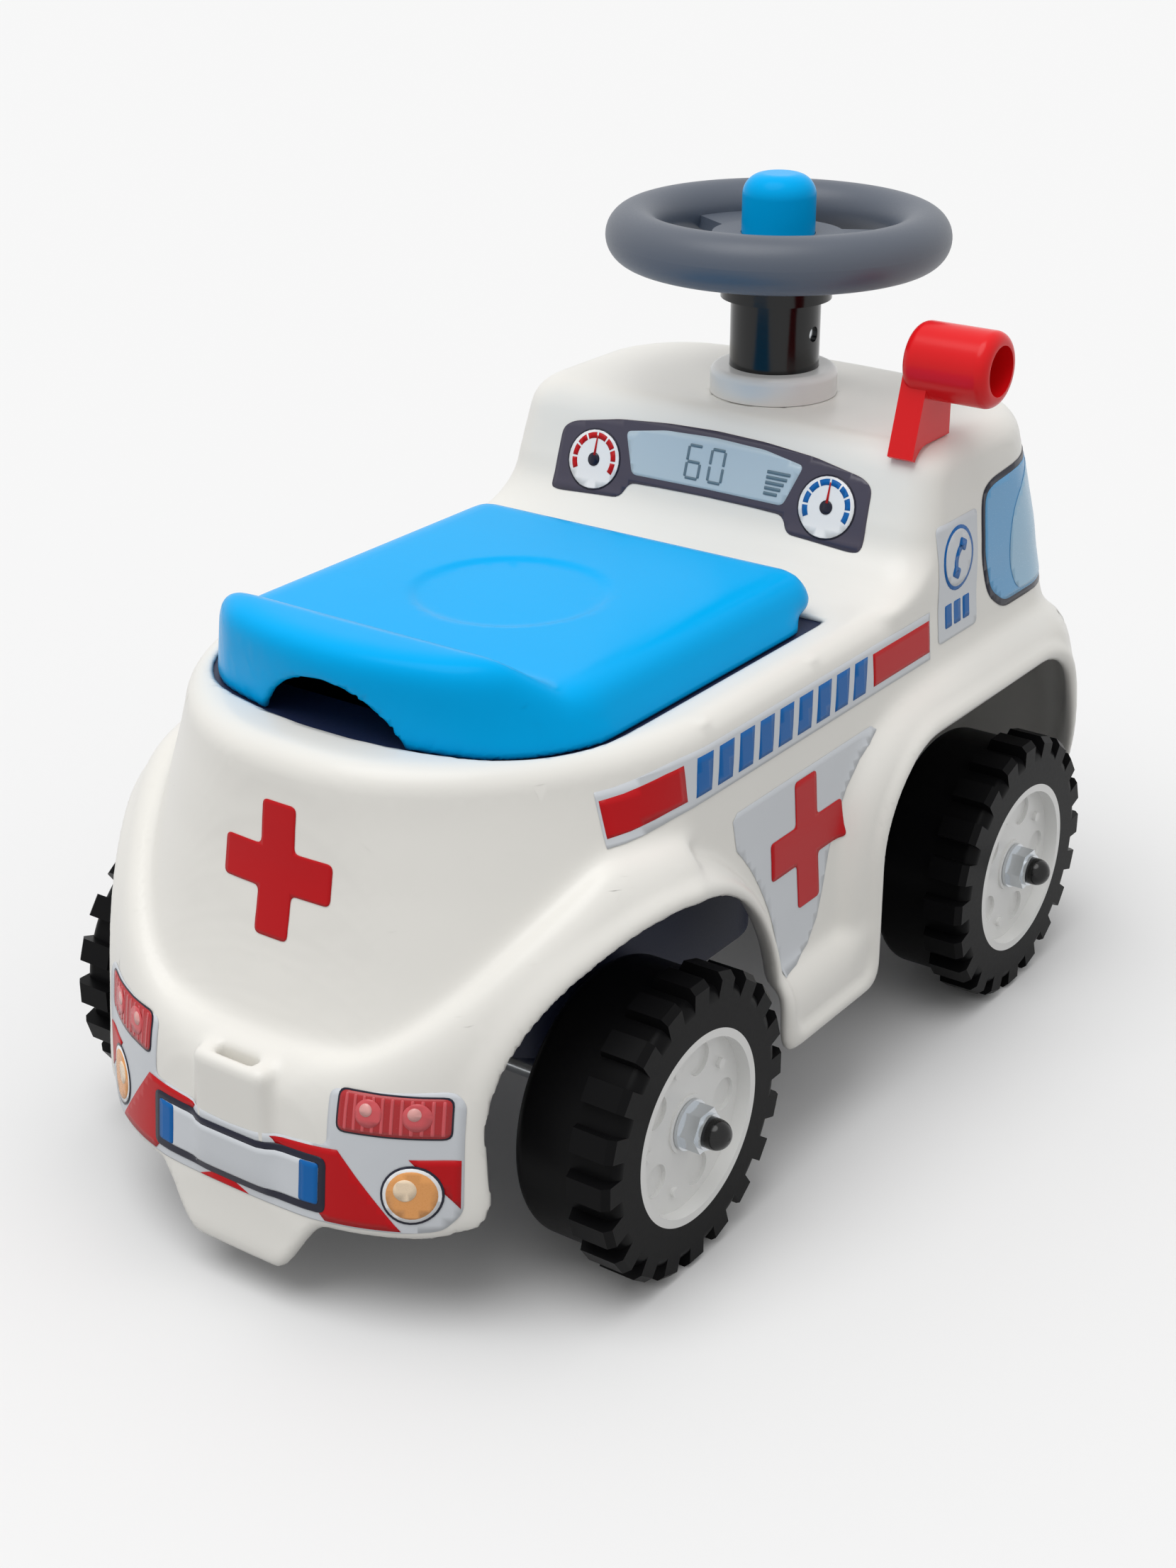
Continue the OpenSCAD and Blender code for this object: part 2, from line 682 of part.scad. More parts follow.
module body_shell() {
    color("#F1EFEA")
    difference() {
        union() {
            difference() {
                union() {
                    shell_solid(0);
                    // Box on the rear bumper
                    translate([rear_x + bumper_lean / 4, -plate_box_w / 2, plate_box_low])
                        cube([plate_box_d, plate_box_w, plate_box_h - plate_box_low]);
                }
                difference() {
                    shell_solid(wall);
                    translate([rear_x, -plate_box_w / 2 - wall, plate_box_low])
                        cube([plate_box_d, plate_box_w + 2 * wall, plate_box_h - plate_box_low]);
                }
            }
            // Screw posts under the rim, run into the side walls
            post_places()
                hull() {
                    translate([0, 0, post_low])
                        cylinder(h = flange_h - post_low, d = post_d);
                    translate([0, 0, flange_h])
                        cylinder(h = wall / 2, d = post_d);
                }
            // Screw bosses inside the front bumper
            boss_places()
                hull() {
                    cylinder(h = boss_reach / 2, d = post_d);
                    translate([0, 0, boss_reach / 2])
                        cylinder(h = wall, d = post_d);
                }
        }
        // Wheel arches, and the lower edges of the bumpers and sills
        along_y(2 * skirt_w)
            rear_arch();
        along_y(2 * skirt_w)
            front_arch();
        translate([rear_axle_x - rear_arch_back - rear_arch_r, -skirt_w, 0])
            cube([wheelbase + rear_arch_back + rear_arch_r + front_arch_fore, 2 * skirt_w, sill_low]);
        translate([rear_x - cut, 0, 0])
            along_x(rear_overhang)
                difference() {
                    below_bumper();
                    tongue();
                }
        translate([front_axle_x, 0, 0])
            along_x(front_x)
                below_bumper();
        // Seat opening
        translate([0, 0, flange_h - cut])
            linear_extrude(wall + 2 * cut)
                polygon(lid_outline(-lid_gap, 0));
        // Steering hole, hitch slot and screw holes
        translate([steer_x, 0, deck_h - wall - cut])
            cylinder(h = wall + 2 * cut, d = spigot_d + 2 * screw_gap);
        translate([rear_x + (plate_box_d - slot_l) / 2 + bumper_lean / 4, -slot_w / 2, plate_box_h - slot_d])
            cube([slot_l, slot_w, slot_d + plate_box_d]);
        post_places()
            translate([0, 0, post_low - cut])
                cylinder(h = screw_l + cut, d = screw_d + 2 * screw_gap);
        boss_places()
            translate([0, 0, -cut])
                cylinder(h = screw_l + cut, d = screw_d + 2 * screw_gap);
        siren_screw_place()
            translate([0, 0, -2 * wall])
                cylinder(h = 4 * wall, d = screw_d + 2 * screw_gap);
    }
}

// Seat lid: an outline from above cut to a profile from the side
lid_low = flange_h + turn_gap;
lid_top = rim_h + lid_lip_up;
lid_rear_x = rear_x + lid_setback;
lid_front_x = hinge_x + lid_nose_r;
// Heights of the ends of the lid's outline loft, as shares of its height
lid_loft_shares = [-0.1, 1.1];

// Outline at a height share between the lid's foot and its lip
function lid_outline(in, up_share) =
    outline(lid_rear_x - lid_rear_lean * up_share + in, lid_front_x - in,
        lid_w / 2 - lid_side_lean * up_share - in, lid_corner_r - in, lid_corner_r / 3, lid_bow, 0);
function lid_profile(in) = concat(
    [[lid_rear_x - 2 * lid_rear_lean, lid_low - (in > 0 ? 2 * cut : 0)],
        [lid_rear_x - 2 * lid_rear_lean, lid_top - in],
        [lid_rear_x + lid_lip_l, lid_top - in],
        [lid_rear_x + lid_lip_l + lid_slope_l, rim_h + lid_pan_up - in]],
    [for (a = [90:-15:-90]) [hinge_x + (lid_nose_r - in) * cos(a), hinge_h + (lid_nose_r - in) * sin(a)]],
    [[hinge_x - lid_nose_r, lid_low - (in > 0 ? 2 * cut : 0)]]);

module lid_solid(in) {
    intersection() {
        loft([for (s = lid_loft_shares) [for (p = lid_outline(in, s)) [p.x, p.y, lid_low + (lid_top - lid_low) * s]]]);
        along_y(2 * lid_w)
            polygon(lid_profile(in));
    }
}

module hinge_cheeks() {
    for (s = both_sides, d = both_sides)
        translate([hinge_x - 2 * lid_nose_r, s * ear_spread / 2 + d * (ear_t / 2 + cheek_t / 2 + turn_gap) - cheek_t / 2, hinge_h - ear_r])
            cube([2 * lid_nose_r + ear_r, cheek_t, ear_r + lid_nose_r - lid_t / 2]);
}

// Ribs under the pan, out from a ring
module lid_ribs() {
    rib_h = lid_top - rim_h - lid_pan_up + lid_t + lid_rib_d;
    translate([rear_axle_x + lid_rib_reach, 0, lid_top - rib_h]) {
        for (k = [0:lid_rib_count - 1])
            rotate([0, 0, 360 * k / lid_rib_count])
                hull() {
                    translate([lid_rib_ring_r, 0, 0])
                        cylinder(h = rib_h, d = lid_rib_t);
                    translate([lid_rib_l, 0, 0])
                        cylinder(h = rib_h, d = lid_rib_t);
                }
        difference() {
            cylinder(h = rib_h, r = lid_rib_ring_r + lid_rib_t / 2);
            translate([0, 0, -cut])
                cylinder(h = rib_h + 2 * cut, r = lid_rib_ring_r - lid_rib_t / 2);
        }
    }
}

module seat_lid() {
    color("#0A93F5")
    difference() {
        union() {
            difference() {
                lid_solid(0);
                lid_solid(lid_t);
                // Hand-grip arch in the rear face
                translate([lid_rear_x - 2 * lid_rear_lean, 0, rim_h])
                    grip_arch();
            }
            intersection() {
                union() {
                    hinge_cheeks();
                    lid_ribs();
                }
                lid_solid(lid_t / 2);
            }
        }
        // Pin bores, and slots for the ears in the nose
        translate([hinge_x, 0, hinge_h])
            rotate([90, 0, 0])
                cylinder(h = ear_spread + 2 * (ear_t + 2 * cheek_t), d = pin_d + 2 * run_gap, center = true);
        for (s = both_sides)
            translate([hinge_x - ear_r - turn_gap, s * ear_spread / 2 - ear_t / 2 - turn_gap, lid_low - cut])
                cube([lid_nose_r + 2 * ear_r, ear_t + 2 * turn_gap, hinge_h - lid_low + cut + ear_r]);
    }
}

// Hand-grip arch: an arc of the given width and height, cut along X
module grip_arch() {
    arch_r = (pow(grip_w / 2, 2) + grip_up * grip_up) / (2 * grip_up);
    along_x(lid_lip_l)
        difference() {
            translate([0, grip_up - arch_r])
                circle(arch_r);
            translate([-arch_r, -2 * arch_r - wall - cut])
                square([2 * arch_r, 2 * arch_r]);
        }
}

module seat_hinge_pins() {
    color("#B9BDC2")
    for (s = both_sides)
        translate([hinge_x, s * ear_spread / 2, hinge_h])
            rotate([90, 0, 0])
                cylinder(h = ear_t + 2 * cheek_t + 2 * turn_gap, d = pin_d, center = true);
}

// Rectangle with round corners, from four discs and two bars
module rounded_rect(x0, x1, half_w, r) {
    union() {
        for (x = [x0 + r, x1 - r], s = both_sides)
            translate([x, s * (half_w - r)])
                circle(r);
        translate([x0 + r, -half_w])
            square([x1 - x0 - 2 * r, 2 * half_w]);
        translate([x0, r - half_w])
            square([x1 - x0, 2 * (half_w - r)]);
    }
}

bin_rear_x = rear_axle_x - bin_back;
bin_front_x = rear_axle_x + bin_fore;
beam_front_x = front_x - boss_reach - turn_gap / 2;
tab_l = post_side() + post_d / 2 - bin_w / 2 + bin_t;
tab_h = post_low - turn_gap / 2 - beam_t;

module underframe() {
    color("#1B2545")
    difference() {
        union() {
            // Storage bin with a flange under the rim
            difference() {
                union() {
                    translate([0, 0, bin_floor])
                        linear_extrude(flange_h - bin_floor)
                            rounded_rect(bin_rear_x, bin_front_x, bin_w / 2, bin_r);
                    translate([0, 0, flange_h - bin_t])
                        linear_extrude(bin_t)
                            polygon(lid_outline(-flange_reach, 0));
                }
                translate([0, 0, bin_floor + bin_t])
                    linear_extrude(flange_h)
                        rounded_rect(bin_rear_x + bin_t, bin_front_x - bin_t, bin_w / 2 - bin_t, bin_r - bin_t);
            }
            // Rear axle ribs under the bin
            for (s = both_sides)
                translate([rear_axle_x - axle_d, s * (rib_spread / 2 - rib_t / 2) - rib_t / 2, axle_h - axle_d])
                    cube([rib_l, rib_t, bin_floor + bin_t - axle_h + axle_d]);
            // Front beam: floor, webs and end plate
            translate([bin_front_x - bin_t, -beam_w / 2, beam_low])
                cube([beam_front_x - bin_front_x + bin_t, beam_w, beam_t]);
            for (s = both_sides)
                translate([bin_front_x - bin_t, s * (beam_w / 2 - beam_t / 2) - beam_t / 2, beam_low])
                    cube([beam_front_x - bin_front_x + bin_t, beam_t, beam_top - beam_low]);
            translate([beam_front_x - beam_t, -beam_w / 2, beam_low])
                cube([beam_t, beam_w, beam_top - beam_low]);
            // Steering bearing, tied to the webs
            translate([steer_x, 0, beam_low])
                cylinder(h = beam_top - beam_low, d = bearing_d);
            translate([steer_x - beam_t / 2, -beam_w / 2, beam_low])
                cube([beam_t, beam_w, beam_top - beam_low]);
            // Tabs under the shell's posts
            for (reach = post_reaches, s = both_sides)
                translate([rear_axle_x + reach - post_d / 2, s > 0 ? bin_w / 2 - bin_t : -bin_w / 2 + bin_t - tab_l, tab_h])
                    cube([post_d, tab_l, beam_t]);
            // Seat hinge ears
            for (s = both_sides)
                translate([hinge_x, s * ear_spread / 2, 0]) {
                    translate([0, 0, hinge_h])
                        rotate([90, 0, 0])
                            cylinder(h = ear_t, r = ear_r, center = true);
                    translate([-ear_r, -ear_t / 2, flange_h - bin_t])
                        cube([2 * ear_r, ear_t, hinge_h - flange_h + bin_t]);
                }
        }
        // Bores
        translate([steer_x, 0, beam_low - cut])
            cylinder(h = beam_top - beam_low + 2 * cut, d = shaft_d + 2 * run_gap);
        translate([rear_axle_x, 0, axle_h])
            rotate([90, 0, 0])
                cylinder(h = bin_w, d = axle_d, center = true);
        translate([hinge_x, 0, hinge_h])
            rotate([90, 0, 0])
                cylinder(h = ear_spread + 2 * ear_t, d = pin_d, center = true);
        post_places()
            translate([0, 0, post_low - 2 * post_d])
                cylinder(h = 2 * post_d + cut, d = screw_d + 2 * screw_gap);
        boss_places()
            translate([0, 0, -beam_t - cut])
                cylinder(h = beam_t + 2 * cut, d = screw_d + 2 * screw_gap);
    }
}

module screw() {
    cylinder(h = screw_l, d = screw_d);
    translate([0, 0, -screw_head_t])
        cylinder(h = screw_head_t, d = screw_head_d);
}

module underframe_screws() {
    color("#C9CCD0") {
        post_places()
            translate([0, 0, tab_h])
                screw();
        boss_places()
            translate([0, 0, -beam_t - turn_gap / 2])
                screw();
    }
}

hub_top_h = ring_h + wheel_hub_up;
horn_cavity_r = horn_d / 2 + horn_foot_reach + turn_gap;
horn_foot_h = hub_top_h - hub_plate_t - turn_gap - horn_foot_t;
wheel_floor_h = column_top;

module steering_wheel() {
    color("#3F4650")
    translate([steer_x, 0, 0])
        difference() {
            union() {
                translate([0, 0, ring_h])
                    rotate_extrude()
                        translate([ring_r, 0])
                            circle(d = ring_tube_d);
                translate([0, 0, wheel_floor_h])
                    cylinder(h = hub_top_h - wheel_floor_h, r = wheel_hub_r);
                for (k = [0:spoke_count - 1])
                    rotate([0, 0, 180 + 360 * k / spoke_count])
                        translate([wheel_hub_r - wall, -spoke_w / 2, ring_h - spoke_t])
                            cube([ring_r - wheel_hub_r + wall, spoke_w, spoke_t]);
            }
            // Button well above the floor, and its mouth in the plate
            translate([0, 0, wheel_floor_h + hub_plate_t])
                cylinder(h = hub_top_h - wheel_floor_h - 2 * hub_plate_t, r = horn_cavity_r);
            translate([0, 0, wheel_floor_h + hub_plate_t])
                cylinder(h = hub_top_h, d = horn_d + 2 * turn_gap);
        }
}

module horn_button() {
    color("#0A86E6")
    translate([steer_x, 0, 0])
        difference() {
            union() {
                translate([0, 0, horn_foot_h])
                    cylinder(h = horn_foot_t, d = horn_d + 2 * horn_foot_reach);
                rotate_extrude()
                    intersection() {
                        union() {
                            translate([0, horn_foot_h])
                                square([horn_d / 2, hub_top_h + horn_up - horn_round_r - horn_foot_h]);
                            translate([0, hub_top_h + horn_up - 2 * horn_round_r])
                                square([horn_d / 2 - horn_round_r, 2 * horn_round_r]);
                            translate([horn_d / 2 - horn_round_r, hub_top_h + horn_up - horn_round_r])
                                circle(horn_round_r);
                        }
                        translate([0, horn_foot_h])
                            square([horn_d, hub_top_h]);
                    }
            }
            translate([0, 0, horn_foot_h - cut])
                cylinder(h = hub_top_h + horn_up - horn_round_r - horn_foot_h + cut, d = horn_d - 2 * horn_t);
        }
}

// The air bulb fills the space between the well's floor and the button's roof
squeaker_low = wheel_floor_h + hub_plate_t;
squeaker_top = hub_top_h + horn_up - horn_round_r - turn_gap;

module squeaker() {
    color("#2A2A2C")
    translate([steer_x, 0, squeaker_low])
        rotate_extrude()
            union() {
                square([horn_d / 4, squeaker_top - squeaker_low]);
                translate([horn_d / 4, (squeaker_top - squeaker_low) / 2])
                    circle(horn_d / 8);
            }
}

module steering_column() {
    color("#17181B")
    translate([steer_x, 0, 0])
        difference() {
            union() {
                translate([0, 0, deck_h - column_reach])
                    cylinder(h = column_top - deck_h + column_reach, d = column_d);
                translate([0, 0, column_top - flange_t])
                    cylinder(h = flange_t, d = flange_d);
            }
            translate([0, 0, deck_h - column_reach - cut])
                cylinder(h = column_top - deck_h + column_reach - flange_t + cut, d = shaft_d);
            translate([0, 0, column_screw_h])
                rotate([90, 0, 0])
                    cylinder(h = 2 * column_d, d = screw_d, center = true);
            for (s = both_sides)
                translate([0, s * column_d / 2, column_screw_h])
                    rotate([90, 0, 0])
                        cylinder(h = 2 * (column_screw_recess + screw_head_t), d = screw_head_d, center = true);
        }
}

module column_screws() {
    color("#C9CCD0")
    for (s = both_sides)
        translate([steer_x, s * (column_d / 2 - column_screw_recess - screw_head_t), column_screw_h])
            rotate([s * 90, 0, 0]) {
                translate([0, 0, -screw_head_t])
                    cylinder(h = screw_head_t, d = screw_head_d);
                cylinder(h = column_d / 2 - column_screw_recess - screw_head_t - shaft_d / 2 + shaft_t, d = screw_d);
            }
}

module column_collar() {
    color("#F4F3F1")
    translate([steer_x, 0, 0])
        difference() {
            union() {
                translate([0, 0, deck_h])
                    rotate_extrude()
                        union() {
                            square([collar_d / 2, collar_up - collar_r]);
                            square([collar_d / 2 - collar_r, collar_up]);
                            translate([collar_d / 2 - collar_r, collar_up - collar_r])
                                circle(collar_r);
                        }
                translate([0, 0, deck_h - spigot_l])
                    cylinder(h = spigot_l, d = spigot_d);
            }
            translate([0, 0, deck_h - spigot_l - cut])
                cylinder(h = spigot_l + collar_up + 2 * cut, d = column_d + 2 * run_gap);
        }
}

module shaft_clip() {
    color("#B9BDC2")
    translate([steer_x, 0, deck_h - spigot_l - turn_gap - clip_t])
        difference() {
            cylinder(h = clip_t, d = spigot_d - 2 * turn_gap);
            translate([0, 0, -cut])
                cylinder(h = clip_t + 2 * cut, d = column_d);
        }
}

carrier_top = beam_low - turn_gap;
shaft_low = carrier_top - shaft_seat;
carrier_bolt_h = shaft_low + shaft_seat / 2;

module steering_shaft() {
    color("#B9BDC2")
    translate([steer_x, 0, 0])
        difference() {
            translate([0, 0, shaft_low])
                cylinder(h = column_top - flange_t - shaft_low, d = shaft_d);
            translate([0, 0, shaft_low - cut])
                cylinder(h = column_top - flange_t - shaft_low + 2 * cut, d = shaft_d - 2 * shaft_t);
            translate([0, 0, column_screw_h])
                rotate([90, 0, 0])
                    cylinder(h = column_d, d = screw_d, center = true);
            translate([0, 0, carrier_bolt_h])
                rotate([90, 0, 0])
                    cylinder(h = column_d, d = carrier_bolt_d, center = true);
        }
}

module axle_carrier() {
    color("#2B2D31")
    difference() {
        translate([steer_x + steer_trail / 2 - carrier_l / 2, -carrier_w / 2, carrier_low])
            cube([carrier_l, carrier_w, carrier_top - carrier_low]);
        translate([steer_x, 0, shaft_low])
            cylinder(h = shaft_seat + cut, d = shaft_d);
        translate([front_axle_x, 0, axle_h])
            rotate([90, 0, 0])
                cylinder(h = 2 * carrier_w, d = axle_d, center = true);
        translate([steer_x, 0, carrier_bolt_h])
            rotate([90, 0, 0])
                cylinder(h = 2 * carrier_w, d = carrier_bolt_d, center = true);
    }
}

module carrier_bolt() {
    color("#C9CCD0")
    translate([steer_x, 0, carrier_bolt_h])
        rotate([90, 0, 0]) {
            cylinder(h = carrier_w, d = carrier_bolt_d, center = true);
            for (s = both_sides)
                translate([0, 0, s * (carrier_w / 2 + carrier_bolt_d / 4)])
                    cylinder(h = carrier_bolt_d / 2, d = 2 * carrier_bolt_d, center = true, $fn = 6);
        }
}

// Stack along an axle, outwards: spacer, wheel, washer, nut, cap
hub_face = tyre_outer - hub_dish;
hub_seat = hub_face + hub_boss_up;
hub_inner = tyre_inner + tyre_edge_r;
washer_y = hub_seat + turn_gap;
nut_y = washer_y + washer_t;
cap_y = nut_y + nut_t + nut_collar_t;
axle_end = cap_y + cap_l - cap_tip;

module on_axle(x) {
    translate([x, 0, axle_h])
        rotate([-90, 0, 0])
            children();
}

module at_both_ends(x) {
    for (s = both_sides)
        mirror([0, s < 0 ? 1 : 0, 0])
            on_axle(x)
                children();
}

module axle(x) {
    color("#B9BDC2")
    on_axle(x)
        cylinder(h = 2 * axle_end, d = axle_d, center = true);
}

module ring_between(y0, y1, d) {
    difference() {
        translate([0, 0, y0])
            cylinder(h = y1 - y0, d = d);
        translate([0, 0, y0 - cut])
            cylinder(h = y1 - y0 + 2 * cut, d = axle_d);
    }
}

module axle_spacers(x, from) {
    color("#26272A")
    at_both_ends(x)
        ring_between(from, hub_inner - turn_gap, spacer_d);
}

module axle_washers(x) {
    color("#C9CCD0")
    at_both_ends(x)
        ring_between(washer_y, nut_y, washer_d);
}

module axle_nuts(x) {
    color("#C6CBD0")
    at_both_ends(x)
        difference() {
            union() {
                translate([0, 0, nut_y])
                    cylinder(h = nut_t, d = nut_af / cos(30), $fn = 6);
                translate([0, 0, nut_y + nut_t])
                    cylinder(h = nut_collar_t, d = nut_af - nut_collar_t);
            }
            translate([0, 0, nut_y - cut])
                cylinder(h = nut_t + nut_collar_t + 2 * cut, d = axle_d);
        }
}

module axle_caps(x) {
    color("#141517")
    at_both_ends(x)
        difference() {
            union() {
                translate([0, 0, cap_y])
                    cylinder(h = cap_l - cap_d / 2, d = cap_d);
                translate([0, 0, cap_y + cap_l - cap_d / 2])
                    intersection() {
                        sphere(d = cap_d);
                        cylinder(h = cap_d, d = cap_d);
                    }
            }
            translate([0, 0, cap_y - cut])
                cylinder(h = cap_l - cap_tip + cut, d = axle_d);
        }
}

// Wheels lie along +Z before they are turned onto their axle, with the outer face up
tread_r = tyre_r - lug_h;

module tyre() {
    rotate_extrude()
        difference() {
            union() {
                translate([hub_r, tyre_inner + tyre_edge_r])
                    square([tread_r - hub_r, tyre_w - 2 * tyre_edge_r]);
                translate([hub_r, tyre_inner])
                    square([tread_r - hub_r - tyre_edge_r, tyre_w]);
                for (z = [tyre_inner + tyre_edge_r, tyre_outer - tyre_edge_r])
                    translate([tread_r - tyre_edge_r, z])
                        circle(tyre_edge_r);
            }
            translate([0, tyre_inner - cut])
                square([hub_r, tyre_w + 2 * cut]);
        }
    for (k = [0:lug_count - 1])
        rotate([0, 0, 90 + 360 * k / lug_count])
            lug();
}

module lug() {
    rotate([90, 0, 0])
        linear_extrude(lug_w, center = true)
            polygon([
                [tread_r - lug_drop, tyre_outer],
                [tyre_r - lug_h / 2, tyre_outer],
                [tyre_r, tyre_outer - lug_h / 2],
                [tyre_r, tyre_outer - lug_l + lug_h / 2],
                [tread_r - lug_h / 2, tyre_outer - lug_l],
                [tread_r - lug_drop, tyre_outer - lug_l]
            ]);
}

module hub() {
    difference() {
        translate([0, 0, hub_inner])
            cylinder(h = tyre_outer - hub_inner, r = hub_r);
        // Dished outer face round the boss
        difference() {
            translate([0, 0, hub_face])
                cylinder(h = hub_dish + cut, r = hub_r - hub_rim_w);
            cylinder(h = hub_seat, r = hub_boss_r);
            for (k = [0:petal_count - 1])
                rotate([0, 0, 360 * (k + 1 / 2) / petal_count])
                    translate([rivet_at, 0, 0])
                        cylinder(h = hub_face + rivet_up, d = rivet_d);
        }
        for (k = [0:petal_count - 1])
            rotate([0, 0, 360 * k / petal_count])
                translate([petal_at, 0, hub_face - petal_d])
                    cylinder(h = petal_d + cut, r = petal_r);
        // Hollow back, round a long bore
        difference() {
            translate([0, 0, hub_inner - cut])
                cylinder(h = hub_face - hub_web - hub_inner + cut, r = hub_r - hub_rim_w);
            cylinder(h = tyre_outer, r = hub_boss_r);
        }
        translate([0, 0, hub_inner - cut])
            cylinder(h = tyre_outer, d = axle_d + 2 * run_gap);
    }
}

module wheel_place(x, side) {
    mirror([0, side < 0 ? 1 : 0, 0])
        on_axle(x)
            children();
}

module tyre_at(x, side) {
    color("#1B1B1D")
    wheel_place(x, side)
        tyre();
}

module hub_at(x, side) {
    color("#F2F1ED")
    wheel_place(x, side)
        hub();
}

// Siren cup lying across the deck's rear right corner, mouth outwards, on a leg with a saddle foot
siren_x = rear_axle_x + siren_reach;
siren_h = deck_h + siren_up;
siren_leg_y = -siren_side - siren_leg_t / 2;
// The foot wraps the rounded edge between the dash and the deck
foot_edge_x = dash_at(deck_h - deck_edge_r) + cab_inset + deck_edge_r - siren_x;
foot_r = deck_edge_r + screw_gap;
// Where round the dash's upper edge the foot starts, in degrees from straight ahead
foot_from = 150;

module siren_screw_place() {
    translate([siren_x, siren_leg_y, deck_h])
        children();
}

module siren_horn() {
    color("#E0161B")
    difference() {
        union() {
            translate([siren_x, -siren_side, siren_h])
                rotate([90, 0, 0])
                    rotate_extrude()
                        union() {
                            square([siren_d / 2 - siren_round_r, siren_l]);
                            translate([0, siren_round_r])
                                square([siren_d / 2, siren_l - 2 * siren_round_r]);
                            for (z = [siren_round_r, siren_l - siren_round_r])
                                translate([siren_d / 2 - siren_round_r, z])
                                    circle(siren_round_r);
                        }
            translate([siren_x, siren_leg_y, 0])
                along_y(siren_leg_t)
                    polygon(concat(
                        [[siren_leg_l / 2, siren_h], [-siren_leg_l / 2, siren_h],
                            [foot_edge_x + (foot_r + wall) * cos(foot_from),
                                deck_h - deck_edge_r + (foot_r + wall) * sin(foot_from)]],
                        [for (a = [foot_from:-15:90])
                            [foot_edge_x + foot_r * cos(a), deck_h - deck_edge_r + foot_r * sin(a)]],
                        [[siren_leg_l / 2, deck_h + foot_r - deck_edge_r]]));
        }
        translate([siren_x, -siren_side - siren_l - cut, siren_h])
            rotate([-90, 0, 0])
                cylinder(h = siren_mouth_l + cut, d = siren_mouth_d);
        siren_screw_place()
            translate([0, 0, -cut])
                cylinder(h = screw_l + cut, d = screw_d);
    }
}

module siren_screw() {
    color("#C9CCD0")
    siren_screw_place()
        translate([0, 0, -wall])
            screw();
}

body_shell();
underframe();
underframe_screws();
seat_lid();
seat_hinge_pins();
steering_wheel();
horn_button();
squeaker();
steering_column();
column_screws();
column_collar();
shaft_clip();
steering_shaft();
axle_carrier();
carrier_bolt();
axle(front_axle_x);  // front_axle
axle(rear_axle_x);  // rear_axle
axle_spacers(front_axle_x, carrier_w / 2);  // front_axle_spacers
axle_spacers(rear_axle_x, rib_spread / 2);  // rear_axle_spacers
axle_washers(front_axle_x);  // front_axle_washers
axle_washers(rear_axle_x);  // rear_axle_washers
axle_nuts(front_axle_x);  // front_axle_nuts
axle_nuts(rear_axle_x);  // rear_axle_nuts
axle_caps(front_axle_x);  // front_axle_caps
axle_caps(rear_axle_x);  // rear_axle_caps
tyre_at(rear_axle_x, -1);  // tyre_rear_right
tyre_at(rear_axle_x, 1);  // tyre_rear_left
tyre_at(front_axle_x, -1);  // tyre_front_right
tyre_at(front_axle_x, 1);  // tyre_front_left
hub_at(rear_axle_x, -1);  // hub_rear_right
hub_at(rear_axle_x, 1);  // hub_rear_left
hub_at(front_axle_x, -1);  // hub_front_right
hub_at(front_axle_x, 1);  // hub_front_left
siren_horn();
siren_screw();
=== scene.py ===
# Toddler's ride-on ambulance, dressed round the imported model.
import math

import bmesh
import bpy
import numpy as np
import openvdb
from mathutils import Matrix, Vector
from mathutils.bvhtree import BVHTree


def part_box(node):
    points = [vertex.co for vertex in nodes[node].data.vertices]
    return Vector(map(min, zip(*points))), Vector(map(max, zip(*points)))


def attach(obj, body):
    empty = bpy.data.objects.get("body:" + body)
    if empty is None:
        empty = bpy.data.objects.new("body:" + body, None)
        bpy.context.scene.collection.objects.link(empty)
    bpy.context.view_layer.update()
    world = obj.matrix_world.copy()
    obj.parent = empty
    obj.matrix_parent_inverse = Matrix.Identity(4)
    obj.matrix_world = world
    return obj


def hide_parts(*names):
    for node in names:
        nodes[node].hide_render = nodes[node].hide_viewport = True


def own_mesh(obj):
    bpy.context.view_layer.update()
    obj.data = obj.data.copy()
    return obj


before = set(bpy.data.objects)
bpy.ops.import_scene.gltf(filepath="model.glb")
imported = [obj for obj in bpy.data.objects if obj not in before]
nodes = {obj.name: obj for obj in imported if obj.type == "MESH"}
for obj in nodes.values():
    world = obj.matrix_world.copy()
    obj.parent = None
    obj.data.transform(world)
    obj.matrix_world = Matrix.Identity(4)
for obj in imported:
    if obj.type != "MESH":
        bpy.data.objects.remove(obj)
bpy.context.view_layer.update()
MM = 0.001

# Body shell
# One off-white polypropylene moulding, open below: tub, cab, bumpers, fenders and sills.
# Its corners are soft, its lower edges end in a rolled lip, and the underframe is screwed in from below.
BODY_L, REAR_OVERHANG, WHEELBASE = 578, 135, 318
REAR_X, FRONT_X = -BODY_L / 2, BODY_L / 2
REAR_AXLE_X = REAR_X + REAR_OVERHANG
FRONT_AXLE_X = REAR_AXLE_X + WHEELBASE
RIM_H, TUB_W, RIM_EDGE_R, TUB_SETBACK, TUB_CORNER_R = 246, 262, 12, 47, 112
REAR_BOW, REAR_FLARE, SIDE_FLARE = 24, 24, 8
DECK_H, DASH_X, DASH_LEAN, SWEEP_L, SWEEP_H = 313, REAR_AXLE_X + 241, 12, 46, 26
CAB_FRONT_X, SCREEN_LEAN, FRONT_BOW = FRONT_X - 36, 18, 15
DASH_CORNER_R, FRONT_CORNER_R, DECK_EDGE_R, CAB_LEAN = 18, 45, 13, 6
SKIRT_W, SKIRT_REAR_R, SKIRT_BOW, SKIRT_FRONT_R, BUMPER_LEAN = 301, 120, 12, 42, 10
BUMPER_LOW, TONGUE_LOW, FOOT_Z = 46, 18, -20
